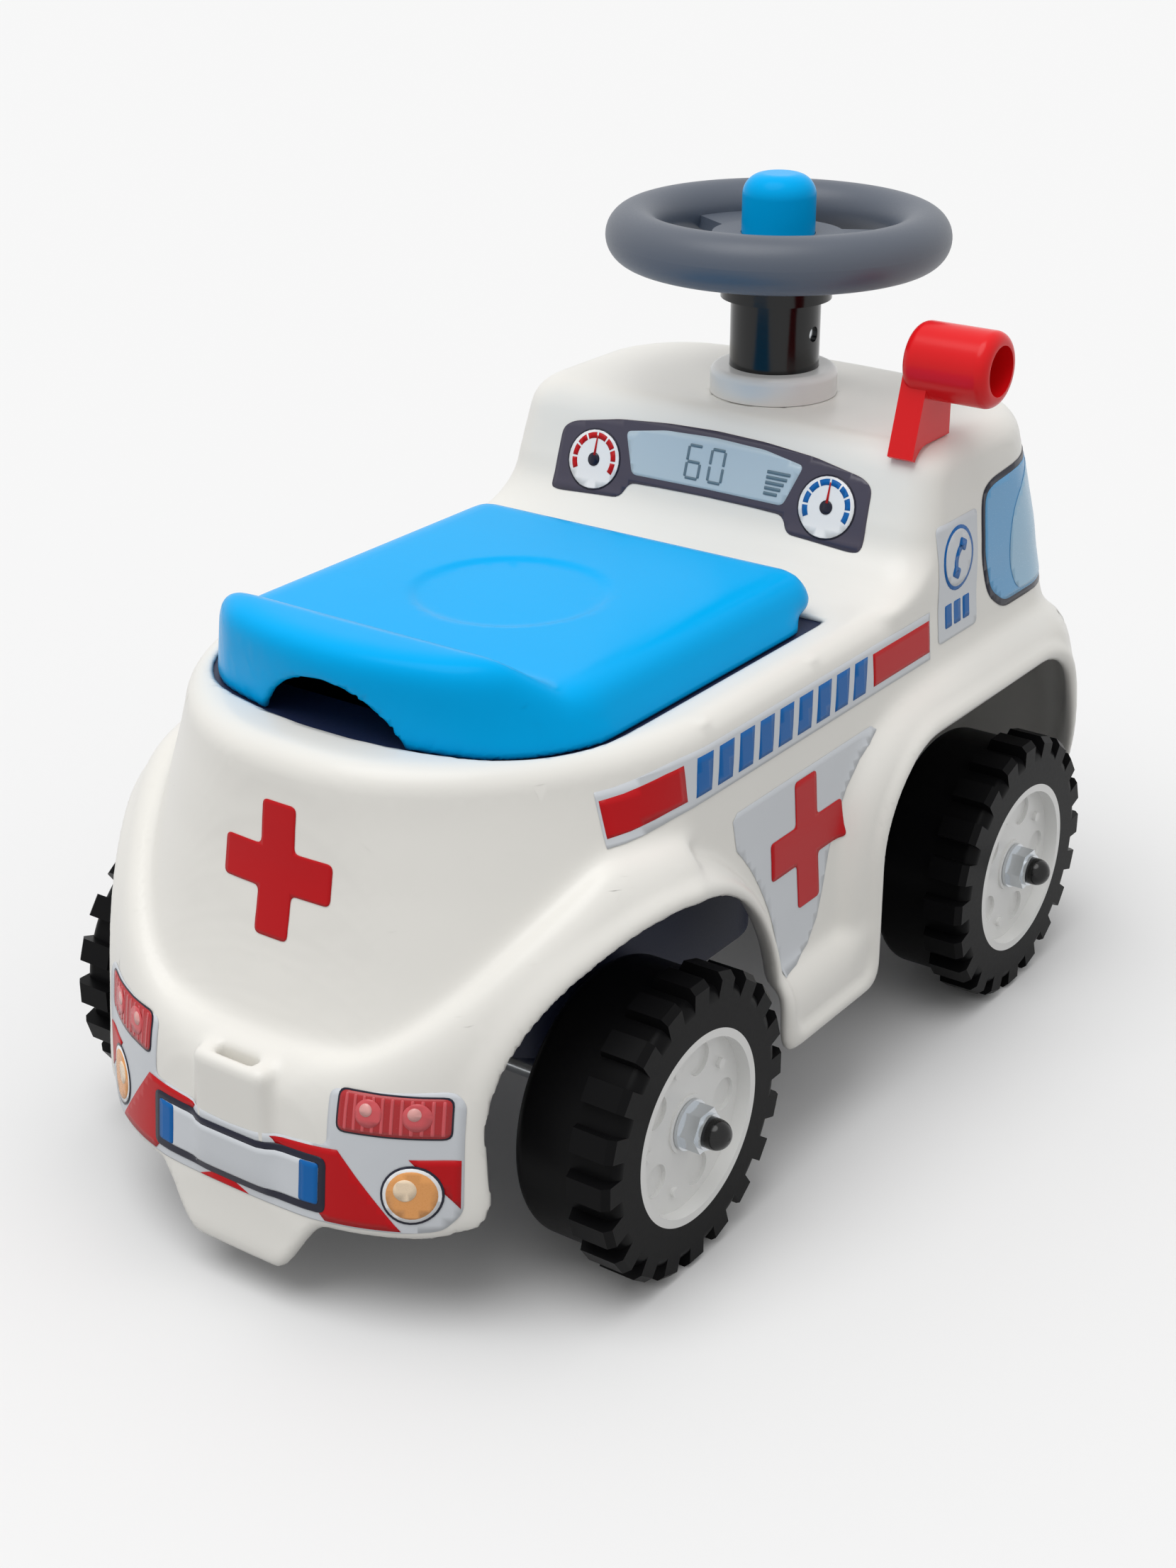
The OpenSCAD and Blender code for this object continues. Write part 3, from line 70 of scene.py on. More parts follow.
REAR_SHOULDER, REAR_CLIMB, FRONT_SHOULDER, FRONT_CLIMB = 122, 100, 127, 79
REAR_FENDER_H, REAR_FENDER_R, REAR_CROWN_X = 204, 122, REAR_AXLE_X - 30
FRONT_FENDER_H, FRONT_FENDER_L, FRONT_CROWN_X = 203, 142, FRONT_AXLE_X - 28
SILL_SHOULDER, SILL_LOW, SHOULDER_BLEND, CORNER_BLEND = 101, 63, 24, 42
COLUMN_SPREAD = 10
WALL, LIP_UP, LIP_W, LIP_FALL, LIP_T = 4, 2.4, 12, 5, 3.5
VOXEL, BAND_VOXELS, SOFTEN, EDGE_SOFTEN = 2.0, 9, 2.4, 1.2


def smooth(t):
    t = np.clip(t, 0, 1)
    return t * t * (3 - 2 * t)


def smooth_min(a, b, r):
    h = np.clip(0.5 + 0.5 * (b - a) / r, 0, 1)
    return b + (a - b) * h - r * h * (1 - h)


def round_step(share):
    """How far the skirt stands out of the tub, from its crease to where it drops straight down."""
    return math.sqrt(1 - (1 - share) ** 2)


def edge_inset(z, top, r):
    return 0 if z <= top - r else r - math.sqrt(max(0, r * r - (z - top + r) ** 2))


def end_point(e, t, end_x, half_w, r, bow):
    """A point on one end of an outline seen from above: corner, middle, corner as t runs 0 to 3."""
    if t < 1:
        x, y = r * (math.sin(t * math.pi / 2) - 1), r - half_w - r * math.cos(t * math.pi / 2)
    elif t > 2:
        x = r * (math.cos((t - 2) * math.pi / 2) - 1)
        y = half_w - r + r * math.sin((t - 2) * math.pi / 2)
    else:
        x, y = 0, (half_w - r) * (2 * t - 3)
    return np.array([end_x + e * (x - bow * (y / half_w) ** 2), e * y])


CORNER = np.linspace(0, 1, 25)
END_TS = np.concatenate([CORNER, np.linspace(1, 2, 17)[1:-1], 2 + CORNER])


def tub_half(z):
    return TUB_W / 2 + SIDE_FLARE * np.interp(
        z / RIM_H, [0.24, 0.48, 0.65, 0.9, 0.95], [1.3, 1, 0.65, 0.12, 0])


def cab_front_at(z):
    return CAB_FRONT_X + SCREEN_LEAN * np.interp(
        z / RIM_H, [0.5, 0.64, 0.76, 1, 1.25], [1.2, 1.1, 0.9, 0, -1])


def tub_point(e, t, z):
    i = edge_inset(z, RIM_H, RIM_EDGE_R)
    if e > 0:
        return end_point(e, t, cab_front_at(z) - i, tub_half(z) - i, FRONT_CORNER_R - i, FRONT_BOW)
    flare = REAR_FLARE * np.interp(
        z / RIM_H, [0.24, 0.48, 0.57, 0.65, 0.78, 0.9, 0.95], [1.2, 1, 0.72, 0.5, 0.21, 0.04, 0])
    corner = TUB_CORNER_R * np.interp(z / RIM_H, [0.48, 0.65, 0.78, 0.95], [0.7, 0.77, 0.85, 1])
    return end_point(e, t, REAR_X + TUB_SETBACK - flare + i, tub_half(z) - i, corner - i, REAR_BOW)


def skirt_point(e, t, z):
    if e > 0:
        lean = BUMPER_LEAN * (z - TONGUE_LOW) / (FRONT_SHOULDER - TONGUE_LOW)
        return end_point(e, t, FRONT_X - lean, SKIRT_W / 2, SKIRT_FRONT_R, FRONT_BOW)
    lean = BUMPER_LEAN * (z - TONGUE_LOW) / (REAR_SHOULDER - TONGUE_LOW)
    return end_point(e, t, REAR_X + lean, SKIRT_W / 2, SKIRT_REAR_R, SKIRT_BOW)


def shoulder_line(e, x, y):
    u = 2 * y / SKIRT_W
    climb = REAR_SHOULDER + REAR_CLIMB * u * u if e < 0 else FRONT_SHOULDER + FRONT_CLIMB * u * u
    reach = max(0, x - REAR_CROWN_X)
    crown = FRONT_FENDER_H if x > 0 else (
        REAR_FENDER_H - REAR_FENDER_R + math.sqrt(max(0, REAR_FENDER_R ** 2 - reach * reach)))
    return min(crown, climb)


# Rows of the shell upwards, as (kind, share): foot, shoulder, tub wall, rounded rim
ROWS = [("foot", 1)] + [("shoulder", s) for s in np.linspace(1, 0, 17)]
ROWS += [("wall", s) for s in np.linspace(0, 1, 15)[1:]] + [("rim", s) for s in np.linspace(0, 1, 9)[1:]]


def upper_z(line, kind, share):
    if kind == "wall":
        return line + (RIM_H - RIM_EDGE_R - line) * share
    return RIM_H - RIM_EDGE_R * (1 - math.sin(share * math.pi / 2))


def end_column(e, t, kind, share):
    at = skirt_point(e, t, REAR_SHOULDER)
    line = shoulder_line(e, at[0], at[1])
    corner = t if t < 1 else 3 - t if t > 2 else 0
    blend = SHOULDER_BLEND + CORNER_BLEND * 4 * corner * (1 - corner)
    z = {"foot": FOOT_Z, "shoulder": line - blend * share}.get(kind, upper_z(line, kind, share))
    skirt = {"foot": 1, "shoulder": round_step(share)}.get(kind, 0)
    tub = tub_point(e, t, z)
    p = tub + (skirt_point(e, t, z) - tub) * skirt
    return [p[0], p[1], z]


SKIRT_END_X = skirt_point(-1, 0, REAR_SHOULDER)[0]
SKIRT_FORE_X = skirt_point(1, 0, FRONT_SHOULDER)[0]
RIM_FROM_X = tub_point(-1, 0, RIM_H - RIM_EDGE_R)[0]
RIM_TO_X = tub_point(1, 0, RIM_H - RIM_EDGE_R)[0]
SILL_FROM_X, SILL_TO_X = REAR_CROWN_X + REAR_FENDER_R, FRONT_CROWN_X - FRONT_FENDER_L
SILL_MID_X = (SILL_FROM_X + SILL_TO_X) / 2
# Columns of a side, rearmost first: place on the shoulder line and direction into the skirt
side_columns = []
for a in math.acos((SKIRT_END_X - REAR_CROWN_X) / REAR_FENDER_R) * np.linspace(1, 0, 34)[1:-1]:
    side_columns.append([REAR_CROWN_X + REAR_FENDER_R * math.cos(a),
                         REAR_FENDER_H - REAR_FENDER_R + REAR_FENDER_R * math.sin(a),
                         -math.cos(a), -math.sin(a)])
for x in np.linspace(SILL_FROM_X, SILL_TO_X, 10)[1:-1]:
    side_columns.append([x, SILL_SHOULDER, 0, -1])
for b in math.pi / 2 * np.linspace(0, 1, 33)[1:] ** 2:
    u, v = math.sqrt(math.cos(b) if b < 1.57 else 0), math.sqrt(math.sin(b))
    g = np.array([u ** 3 / FRONT_FENDER_L, v ** 3 / (FRONT_FENDER_H - SILL_LOW)])
    g /= np.linalg.norm(g)
    side_columns.append([FRONT_CROWN_X - FRONT_FENDER_L * u, SILL_LOW + (FRONT_FENDER_H - SILL_LOW) * v,
                         g[0], -g[1]])
for x in np.linspace(FRONT_CROWN_X, SKIRT_FORE_X, 10)[1:-1]:
    side_columns.append([x, FRONT_FENDER_H, 0, -1])


def rim_x(x):
    if x < SILL_MID_X:
        return SILL_MID_X - (SILL_MID_X - x) * (SILL_MID_X - RIM_FROM_X) / (SILL_MID_X - SKIRT_END_X)
    return SILL_MID_X + (x - SILL_MID_X) * (RIM_TO_X - SILL_MID_X) / (SKIRT_FORE_X - SILL_MID_X)


def side_column(side, column, kind, share):
    x, line, dx, dz = column
    top_x = rim_x(x - dx * COLUMN_SPREAD)
    line = max(line, SILL_SHOULDER)
    d = SHOULDER_BLEND * share
    z = {"foot": FOOT_Z, "shoulder": line + dz * d}.get(kind, upper_z(line, kind, share))
    if kind == "foot":
        x += dx * SHOULDER_BLEND
    elif kind == "shoulder":
        x += dx * d
    else:
        x += (top_x - x) * (share if kind == "wall" else 1)
    skirt = {"foot": 1, "shoulder": round_step(share)}.get(kind, 0)
    tub = tub_half(z) - edge_inset(z, RIM_H, RIM_EDGE_R)
    return [x, side * (tub + (SKIRT_W / 2 - tub) * skirt), z]


shell_rings = []
for kind, share in ROWS:
    ring = [end_column(1, t, kind, share) for t in END_TS]
    ring += [side_column(1, c, kind, share) for c in reversed(side_columns)]
    ring += [end_column(-1, t, kind, share) for t in END_TS]
    ring += [side_column(-1, c, kind, share) for c in side_columns]
    shell_rings.append(ring)


def outline(rear, front, half_w, rear_r, front_r, rear_bow, front_bow):
    ends = [end_point(1, t, front, half_w, front_r, front_bow) for t in END_TS]
    return np.array(ends + [end_point(-1, t, rear, half_w, rear_r, rear_bow) for t in END_TS])


def dash_at(z):
    t = np.clip((z - RIM_H) / SWEEP_H, 0, 1)
    lean = DASH_LEAN * float(smooth((z - RIM_H - SWEEP_H) / (DECK_H - RIM_H - SWEEP_H)))
    return DASH_X - SWEEP_L * (1 - math.sqrt(1 - (1 - t) ** 2)) + lean


cab_levels = [RIM_H - SWEEP_L]
cab_levels += [RIM_H + SWEEP_H * (1 - math.cos(a)) for a in np.linspace(0, math.pi / 2, 17)]
cab_levels += [DECK_H - DECK_EDGE_R + DECK_EDGE_R * math.sin(a) for a in np.linspace(0, math.pi / 2, 11)]
cab_rings = []
for z in cab_levels:
    inset = edge_inset(z, DECK_H, DECK_EDGE_R)
    half_w = TUB_W / 2 - CAB_LEAN * max(0, (z - RIM_H) / (DECK_H - RIM_H)) - inset
    flat = outline(dash_at(z) + inset, cab_front_at(z) - inset, half_w,
                   DASH_CORNER_R, FRONT_CORNER_R - inset, 0, FRONT_BOW)
    cab_rings.append([[x, y, z] for x, y in flat])

# The shell's shapes become distance fields on one grid, so that they can be softened, joined and hollowed
GRID_LOW = np.array([-304, -164, 0])
GRID_SIZE = (305, 165, 164)


def field_of_loft(rings, low, size):
    n = len(rings[0])
    points = [p for ring in rings for p in ring]
    quads = [[j * n + i, j * n + (i + 1) % n, (j + 1) * n + (i + 1) % n, (j + 1) * n + i]
             for j in range(len(rings) - 1) for i in range(n)]
    triangles = []
    for start, flip in ((0, True), ((len(rings) - 1) * n, False)):
        points.append(np.mean(points[start:start + n], axis=0))
        for i in range(n):
            a, b = start + i, start + (i + 1) % n
            triangles.append([b, a, len(points) - 1] if flip else [a, b, len(points) - 1])
    local = (np.array(points) - low) / VOXEL
    grid = openvdb.FloatGrid.createLevelSetFromPolygons(
        local.astype(np.float32),
        triangles=np.array(triangles, np.uint32),
        quads=np.array(quads, np.uint32),
        transform=openvdb.createLinearTransform(voxelSize=1.0), halfWidth=BAND_VOXELS)
    field = np.zeros(size, np.float32)
    grid.copyToArray(field)
    return field * VOXEL


def soften(field, spread):
    reach = int(3 * spread / VOXEL) + 1
    taps = np.exp(-0.5 * (np.arange(-reach, reach + 1) * VOXEL / spread) ** 2)
    taps /= taps.sum()
    for axis in range(3):
        padded = np.pad(field, [(reach, reach) if a == axis else (0, 0) for a in range(3)], mode="edge")
        length = field.shape[axis]
        field = sum(w * np.take(padded, np.arange(k, k + length), axis=axis) for k, w in enumerate(taps))
    return field.astype(np.float32)


def distance_to_polygon(x, y, corners):
    """Signed distance in the plane, negative inside."""
    best = np.full(np.broadcast(x, y).shape, 1e9)
    inside = np.zeros(best.shape, bool)
    for (ax, ay), (bx, by) in zip(corners, np.roll(corners, -1, axis=0)):
        ex, ey = bx - ax, by - ay
        t = np.clip(((x - ax) * ex + (y - ay) * ey) / max(ex * ex + ey * ey, 1e-9), 0, 1)
        best = np.minimum(best, (x - ax - t * ex) ** 2 + (y - ay - t * ey) ** 2)
        if abs(ey) > 1e-9:
            inside ^= ((ay > y) != (by > y)) & (x < ex * (y - ay) / ey + ax)
    return np.where(inside, -1, 1) * np.sqrt(best)


def grid_axes(low, size):
    x = (low[0] + VOXEL * np.arange(size[0])).reshape(-1, 1, 1)
    y = (low[1] + VOXEL * np.arange(size[1])).reshape(1, -1, 1)
    z = (low[2] + VOXEL * np.arange(size[2])).reshape(1, 1, -1)
    return x, y, z


def mesh_of_field(name, field, low, adaptivity):
    """Turns a distance field into a mesh in metres whose normals come from the field."""
    band = 2.5 * VOXEL
    grid = openvdb.FloatGrid(background=band)
    grid.copyFromArray(np.clip(field, -band, band).astype(np.float32))
    points, triangles, quads = grid.convertToPolygons(isovalue=0.0, adaptivity=adaptivity)
    at = np.clip(points.astype(float), 0, np.array(field.shape) - 1.001)
    cell = at.astype(int)
    part = at - cell
    normals = np.zeros_like(at)
    for axis, slope in enumerate(np.gradient(field)):
        for corner in np.ndindex(2, 2, 2):
            weight = np.prod(np.where(np.array(corner) == 1, part, 1 - part), axis=1)
            i, j, k = (cell + np.array(corner)).T
            normals[:, axis] += weight * slope[i, j, k]
    normals /= np.maximum(np.linalg.norm(normals, axis=1, keepdims=True), 1e-9)
    faces = [list(map(int, f)) for f in triangles] + [list(map(int, f)) for f in quads]
    first = np.array([f[:3] for f in faces])
    a, b, c = points[first[:, 0]], points[first[:, 1]], points[first[:, 2]]
    outward = (np.cross(b - a, c - a) * normals[first[:, 0]]).sum()
    if outward < 0:
        faces = [f[::-1] for f in faces]
    mesh = bpy.data.meshes.new(name)
    mesh.from_pydata(((points * VOXEL + low) * MM).tolist(), [], faces)
    mesh.validate()
    mesh.shade_smooth()
    mesh.normals_split_custom_set_from_vertices(normals.tolist())
    piece = bpy.data.objects.new(name, mesh)
    bpy.context.scene.collection.objects.link(piece)
    return piece


X, Y, Z = grid_axes(GRID_LOW, GRID_SIZE)
shell_field = field_of_loft(shell_rings, GRID_LOW, GRID_SIZE)
cab_field = field_of_loft(cab_rings, GRID_LOW, GRID_SIZE)
body_field = np.minimum(shell_field, cab_field)
body_field = soften(body_field, SOFTEN)

# Box in the middle of the rear bumper, with the hitch slot in its top
BOX_W, BOX_TOP, BOX_FOOT, BOX_D, BOX_R, BOX_BLEND = 42, 116, 58, 17, 4, 5
box_x = REAR_X + BUMPER_LEAN / 4 + BOX_D / 2
box = [np.abs(X - box_x) - BOX_D / 2 + BOX_R, np.abs(Y) - BOX_W / 2 + BOX_R,
       np.abs(Z - (BOX_TOP + BOX_FOOT) / 2) - (BOX_TOP - BOX_FOOT) / 2 + BOX_R]
box_outside = np.sqrt(sum(np.maximum(q, 0) ** 2 for q in box))
box_inside = np.minimum(np.maximum.reduce(np.broadcast_arrays(*box)), 0)
box_field = box_outside + box_inside - BOX_R
body_field = smooth_min(body_field, box_field, BOX_BLEND)

# Wheel arches and lower edges. Where two cuts meet, the corner between them is rounded.
REAR_ARCH_X, REAR_ARCH_Z, REAR_ARCH_R = REAR_AXLE_X - 3, 90, 87
FRONT_ARCH_FROM, FRONT_ARCH_TO, FRONT_ARCH_H = FRONT_AXLE_X - 143, FRONT_AXLE_X + 104, 180
FRONT_ARCH_R, FORE_ARCH_X, FORE_ARCH_R, AXLE_H = 52, FRONT_AXLE_X + 21, 45, 72
LOWER_CORNER_R, SILL_CORNER_R, ARCH_FOOT = 22, 12, -60
TONGUE_HALF, TONGUE_RISE = 23, 26
rear_arch = np.hypot(X - REAR_ARCH_X, np.maximum(Z - REAR_ARCH_Z, 0)) - REAR_ARCH_R
# The front arch's fore edge leans forward from its rounded corner down to the axle's height
lean = math.hypot(FRONT_ARCH_TO - FORE_ARCH_X, FRONT_ARCH_H - FORE_ARCH_R - AXLE_H)
lean_angle = math.atan2(AXLE_H - FRONT_ARCH_H + FORE_ARCH_R, FRONT_ARCH_TO - FORE_ARCH_X)
lean_angle += math.acos(FORE_ARCH_R / lean)
arch_corners = [(FRONT_ARCH_TO, ARCH_FOOT), (FRONT_ARCH_TO, AXLE_H)]
for a in np.linspace(lean_angle, math.pi / 2, 12):
    arch_corners.append((FORE_ARCH_X + FORE_ARCH_R * math.cos(a),
                         FRONT_ARCH_H - FORE_ARCH_R + FORE_ARCH_R * math.sin(a)))
for a in np.linspace(math.pi / 2, math.pi, 14):
    arch_corners.append((FRONT_ARCH_FROM + FRONT_ARCH_R + FRONT_ARCH_R * math.cos(a),
                         FRONT_ARCH_H - FRONT_ARCH_R + FRONT_ARCH_R * math.sin(a)))
arch_corners.append((FRONT_ARCH_FROM, ARCH_FOOT))
front_arch = distance_to_polygon(X[:, 0, :], Z[:, 0, :], np.array(arch_corners))[:, None, :]
tongue_line = TONGUE_LOW + (BUMPER_LOW - TONGUE_LOW) * smooth((np.abs(Y) - TONGUE_HALF) / TONGUE_RISE)
rear_low = np.maximum(Z - tongue_line, X - (REAR_ARCH_X - REAR_ARCH_R / 2)) + 0 * X
front_low = np.maximum(Z - BUMPER_LOW, FRONT_AXLE_X - X)
sill_low = np.maximum(Z - SILL_LOW, np.maximum(REAR_ARCH_X - X, X - FRONT_AXLE_X))
edges = smooth_min(rear_low, rear_arch, LOWER_CORNER_R)
edges = np.minimum(edges, smooth_min(front_low, front_arch, LOWER_CORNER_R))
arch_edges = smooth_min(smooth_min(sill_low, rear_arch, SILL_CORNER_R), front_arch, SILL_CORNER_R)
edges = np.minimum(edges, arch_edges)
body_field = body_field - LIP_UP * smooth((LIP_W - arch_edges) / LIP_FALL)

# Seat opening, steering hole, hitch slot
LID_W, LID_SETBACK, LID_BOW, LID_CORNER_R, LID_GAP = 212, 78, 28, 40, 1.5
HINGE_X, HINGE_H, NOSE_R = REAR_AXLE_X + 178, 256, 9
REAR_LEAN, SIDE_LEAN, LIP_TOP = 6, 11, RIM_H + 40


def lid_outline(inset, up_share):
    rear = REAR_X + LID_SETBACK - REAR_LEAN * up_share + inset
    half_w = LID_W / 2 - SIDE_LEAN * up_share - inset
    return outline(rear, HINGE_X + NOSE_R - inset, half_w, LID_CORNER_R - inset, LID_CORNER_R / 3, LID_BOW, 0)


STEER_X, STEER_HOLE_R, HOLE_D = FRONT_AXLE_X - 12, 29.2, 12
seat_hole = distance_to_polygon(X[:, :, 0], Y[:, :, 0], lid_outline(-LID_GAP, 0)[::3])[:, :, None]
holes = np.maximum(np.maximum(seat_hole, RIM_H - HOLE_D - Z), X - HINGE_X - 3)
holes = np.minimum(holes, np.maximum(np.hypot(X - STEER_X, Y) - STEER_HOLE_R, DECK_H - HOLE_D - Z))
SLOT_W, SLOT_L, SLOT_D = 23, 5.5, 14
slot = np.maximum(np.maximum(np.abs(X - box_x) - SLOT_L / 2, np.abs(Y) - SLOT_W / 2), BOX_TOP - SLOT_D - Z)
holes = np.minimum(holes, slot)
walls = np.maximum(body_field, -(body_field + WALL + LIP_T * smooth((LIP_W - edges) / LIP_FALL)))

# Screw posts under the rim
POST_R, POST_LOW, POST_REACH = 5.5, 205, (46, 138)
for reach in POST_REACH:
    for side in (-1, 1):
        post = np.hypot(X - REAR_AXLE_X - reach, Y - side * (TUB_W / 2 - 3 - POST_R)) - POST_R
        walls = np.minimum(walls, np.maximum(np.maximum(post, POST_LOW - Z), Z - RIM_H + 2))
walls = np.minimum(walls, np.maximum(box_field, body_field))
EDGE_ROUND, HOLE_ROUND, MESH_EASE = 7, 1.5, 0.02
walls = -smooth_min(-walls, edges, EDGE_ROUND)
walls = -smooth_min(-walls, holes, HOLE_ROUND)
walls = soften(walls, EDGE_SOFTEN)
body = mesh_of_field("body_moulding", walls, GRID_LOW, MESH_EASE)
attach(body, "body")
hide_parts("body_shell")


def rgb(hex_colour):
    """An sRGB hex colour as linear RGBA."""
    parts = [int(hex_colour[i:i + 2], 16) / 255 for i in (1, 3, 5)]
    return [c / 12.92 if c <= 0.04045 else ((c + 0.055) / 1.055) ** 2.4 for c in parts] + [1]


def add(tree, kind, inputs=None, **settings):
    """Adds a shader node with its settings, and links or sets its inputs."""
    made = tree.nodes.new("ShaderNode" + kind)
    for name, value in settings.items():
        setattr(made, name, value)
    for name, value in (inputs or {}).items():
        if isinstance(value, bpy.types.NodeSocket):
            tree.links.new(value, made.inputs[name])
        else:
            made.inputs[name].default_value = value
    return made


def moulded(name, hex_colour, roughness, grain, depth, sheen=0.5, mottle=0.04, metallic=0.0):
    """A moulded finish: cloudy tone over a hand's width, grain in mm, and the grain's depth in mm."""
    material = bpy.data.materials.new(name)
    material.use_nodes = True
    tree = material.node_tree
    tree.nodes.clear()
    place = add(tree, "TexCoord").outputs["Object"]
    cloud = add(tree, "TexNoise", {"Vector": place, "Scale": 1 / (60 * MM), "Detail": 3.0}).outputs["Fac"]
    fine = add(tree, "TexNoise", {"Vector": place, "Scale": 1 / (grain * MM), "Detail": 2.0}).outputs["Fac"]
    pale = rgb(hex_colour)
    deep = [c * (1 - mottle) for c in pale[:3]] + [1]
    tone = add(tree, "Mix", {0: cloud, 6: deep, 7: pale}, data_type="RGBA").outputs[2]
    gloss = add(tree, "MapRange", {0: fine, 3: roughness * 0.85, 4: roughness * 1.15}).outputs[0]
    bump = add(tree, "Bump", {"Height": fine, "Distance": depth * MM, "Strength": 1.0}).outputs["Normal"]
    shader = add(tree, "BsdfPrincipled", {"Base Color": tone, "Roughness": gloss, "Normal": bump,
                                          "Specular IOR Level": sheen, "Metallic": metallic})
    add(tree, "OutputMaterial", {"Surface": shader.outputs[0]})
    return material


# Polypropylene, injection moulded and left in its own off-white: a satin skin with soft wide highlights
ivory_polypropylene = moulded("ivory_polypropylene", "#EFEDE7", 0.3, 1.6, 0.0015, sheen=0.3)
body.data.materials.append(ivory_polypropylene)

# Printed stickers
# Thin glossy vinyl sheets, printed and cut to shape, laid on the shell so that they follow its curves.
# The printed areas lie one over the other, as coats of ink do.
STICKER_UP, INK_UP, STICKER_T, STICKER_STEP = 0.3, 0.12, 0.15, 4.0
BESIDE, BEYOND, OVER_SEAT = 220, 420, 20
body_tree = BVHTree.FromPolygons([v.co for v in body.data.vertices],
                                 [list(p.vertices) for p in body.data.polygons])


def rounded(corners, r, steps=5):
    """A polygon with its corners rounded."""
    made = []
    corners = [np.array(c, float) for c in corners]
    for i, p in enumerate(corners):
        before, after = corners[i - 1] - p, corners[(i + 1) % len(corners)] - p
        a = p + before * min(r / np.linalg.norm(before), 0.45)
        b = p + after * min(r / np.linalg.norm(after), 0.45)
        made += [(1 - t) ** 2 * a + 2 * t * (1 - t) * p + t * t * b for t in np.linspace(0, 1, steps)]
    return made


def bar(x0, x1, z0, z1, r):
    return rounded([(x0, z0), (x1, z0), (x1, z1), (x0, z1)], r)


def plus(x, z, half, arm, r):
    points = [(arm, half), (-arm, half), (-arm, arm), (-half, arm), (-half, -arm), (-arm, -arm),
              (-arm, -half), (arm, -half), (arm, -arm), (half, -arm), (half, arm), (arm, arm)]
    return rounded([(x + a, z + b) for a, b in points], r)


def disc(x, z, rx, rz, steps=32):
    turn = np.linspace(0, 2 * math.pi, steps, endpoint=False)
    return [(x + rx * math.cos(a), z + rz * math.sin(a)) for a in turn]


def arc_band(x, z, r0, r1, from_deg, to_deg, squeeze=1.0):
    turn = np.radians(np.linspace(from_deg, to_deg, 12))
    outer = [(x + r1 * squeeze * math.cos(a), z + r1 * math.sin(a)) for a in turn]
    return outer + [(x + r0 * squeeze * math.cos(a), z + r0 * math.sin(a)) for a in turn[::-1]]


def mirrored(corners):
    return [(-u, v) for u, v in corners][::-1]


def sticker(name, areas, start, aim):
    """areas are (outline, ink, coat); start gives a ray's origin in mm for a point of the outline."""
    points, faces, inks, used = [], [], [], []
    for corners, ink, coat in areas:
        sheet = bmesh.new()
        flat = [sheet.verts.new((u, v, 0)) for u, v in corners]
        sheet.faces.new(flat)
        for axis in (0, 1):
            along = [c[axis] for c in corners]
            first_cut = math.floor(min(along) / STICKER_STEP) + 1
            for place in np.arange(first_cut, max(along) / STICKER_STEP) * STICKER_STEP:
                everything = list(sheet.verts) + list(sheet.edges) + list(sheet.faces)
                at = (place, 0, 0) if axis == 0 else (0, place, 0)
                across = (1, 0, 0) if axis == 0 else (0, 1, 0)
                bmesh.ops.bisect_plane(sheet, geom=everything, dist=1e-4, plane_co=at, plane_no=across)
        bmesh.ops.triangulate(sheet, faces=list(sheet.faces))
        sheet.verts.index_update()
        if ink not in used:
            used.append(ink)
        base = len(points)
        for v in sheet.verts:
            origin = Vector(start(v.co.x, v.co.y)) * MM
            hit, normal, _, _ = body_tree.ray_cast(origin, Vector(aim))
            if hit is None:
                hit, normal, _, _ = body_tree.find_nearest(origin)
            if normal.dot(Vector(aim)) > 0:
                normal = -normal
            points.append(hit + normal * (STICKER_UP + INK_UP * coat) * MM)
        for f in sheet.faces:
            faces.append([base + v.index for v in f.verts])
            inks.append(used.index(ink))
        sheet.free()
    mesh = bpy.data.meshes.new(name)
    mesh.from_pydata(points, [], faces)
    mesh.polygons.foreach_set("material_index", inks)
    first = mesh.polygons[0].normal
    if first.dot(Vector(aim)) > 0:
        mesh.flip_normals()
    mesh.shade_smooth()
    for ink in used:
        mesh.materials.append(ink)
    piece = bpy.data.objects.new(name, mesh)
    bpy.context.scene.collection.objects.link(piece)
    thick = piece.modifiers.new("vinyl", "SOLIDIFY")
    thick.thickness = STICKER_T * MM
    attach(piece, "body")
    return piece


# Printed vinyl: a clear gloss over flat ink, with the slight tooth of the sheet
silver_vinyl = moulded("silver_vinyl", "#D3D7DC", 0.38, 0.8, 0.006)
red_ink = moulded("red_ink", "#C20A14", 0.34, 0.8, 0.008, sheen=0.2, mottle=0.08)
blue_ink = moulded("blue_ink", "#0664AE", 0.34, 0.8, 0.008, sheen=0.2)
navy_ink = moulded("navy_ink", "#14152A", 0.3, 0.8, 0.006, sheen=0.3)
slate_ink = moulded("slate_ink", "#3F3B4D", 0.34, 0.7, 0.01, mottle=0.15)
white_ink = moulded("white_ink", "#F2F3F4", 0.34, 0.8, 0.006)
display_ink = moulded("display_ink", "#B7CAD6", 0.3, 0.8, 0.006)
segment_ink = moulded("segment_ink", "#5B7686", 0.34, 0.8, 0.006)
glass_ink = moulded("glass_ink", "#62ABDE", 0.26, 0.8, 0.004, mottle=0.12)
# Pale blue of the glints on the window panes: a painted reflection
painted_glint_ink = moulded("painted_glint_ink", "#9CC6E2", 0.26, 0.8, 0.004)
lamp_ink = moulded("lamp_ink", "#B5141C", 0.26, 0.8, 0.006, mottle=0.1)
lamp_pale_ink = moulded("lamp_pale_ink", "#D9545A", 0.26, 0.8, 0.006)
bulb_ink = moulded("bulb_ink", "#E9A9A4", 0.26, 0.8, 0.006)
amber_ink = moulded("amber_ink", "#EFA65E", 0.28, 0.8, 0.006, mottle=0.1)
amber_pale_ink = moulded("amber_pale_ink", "#FBE3C4", 0.28, 0.8, 0.006)

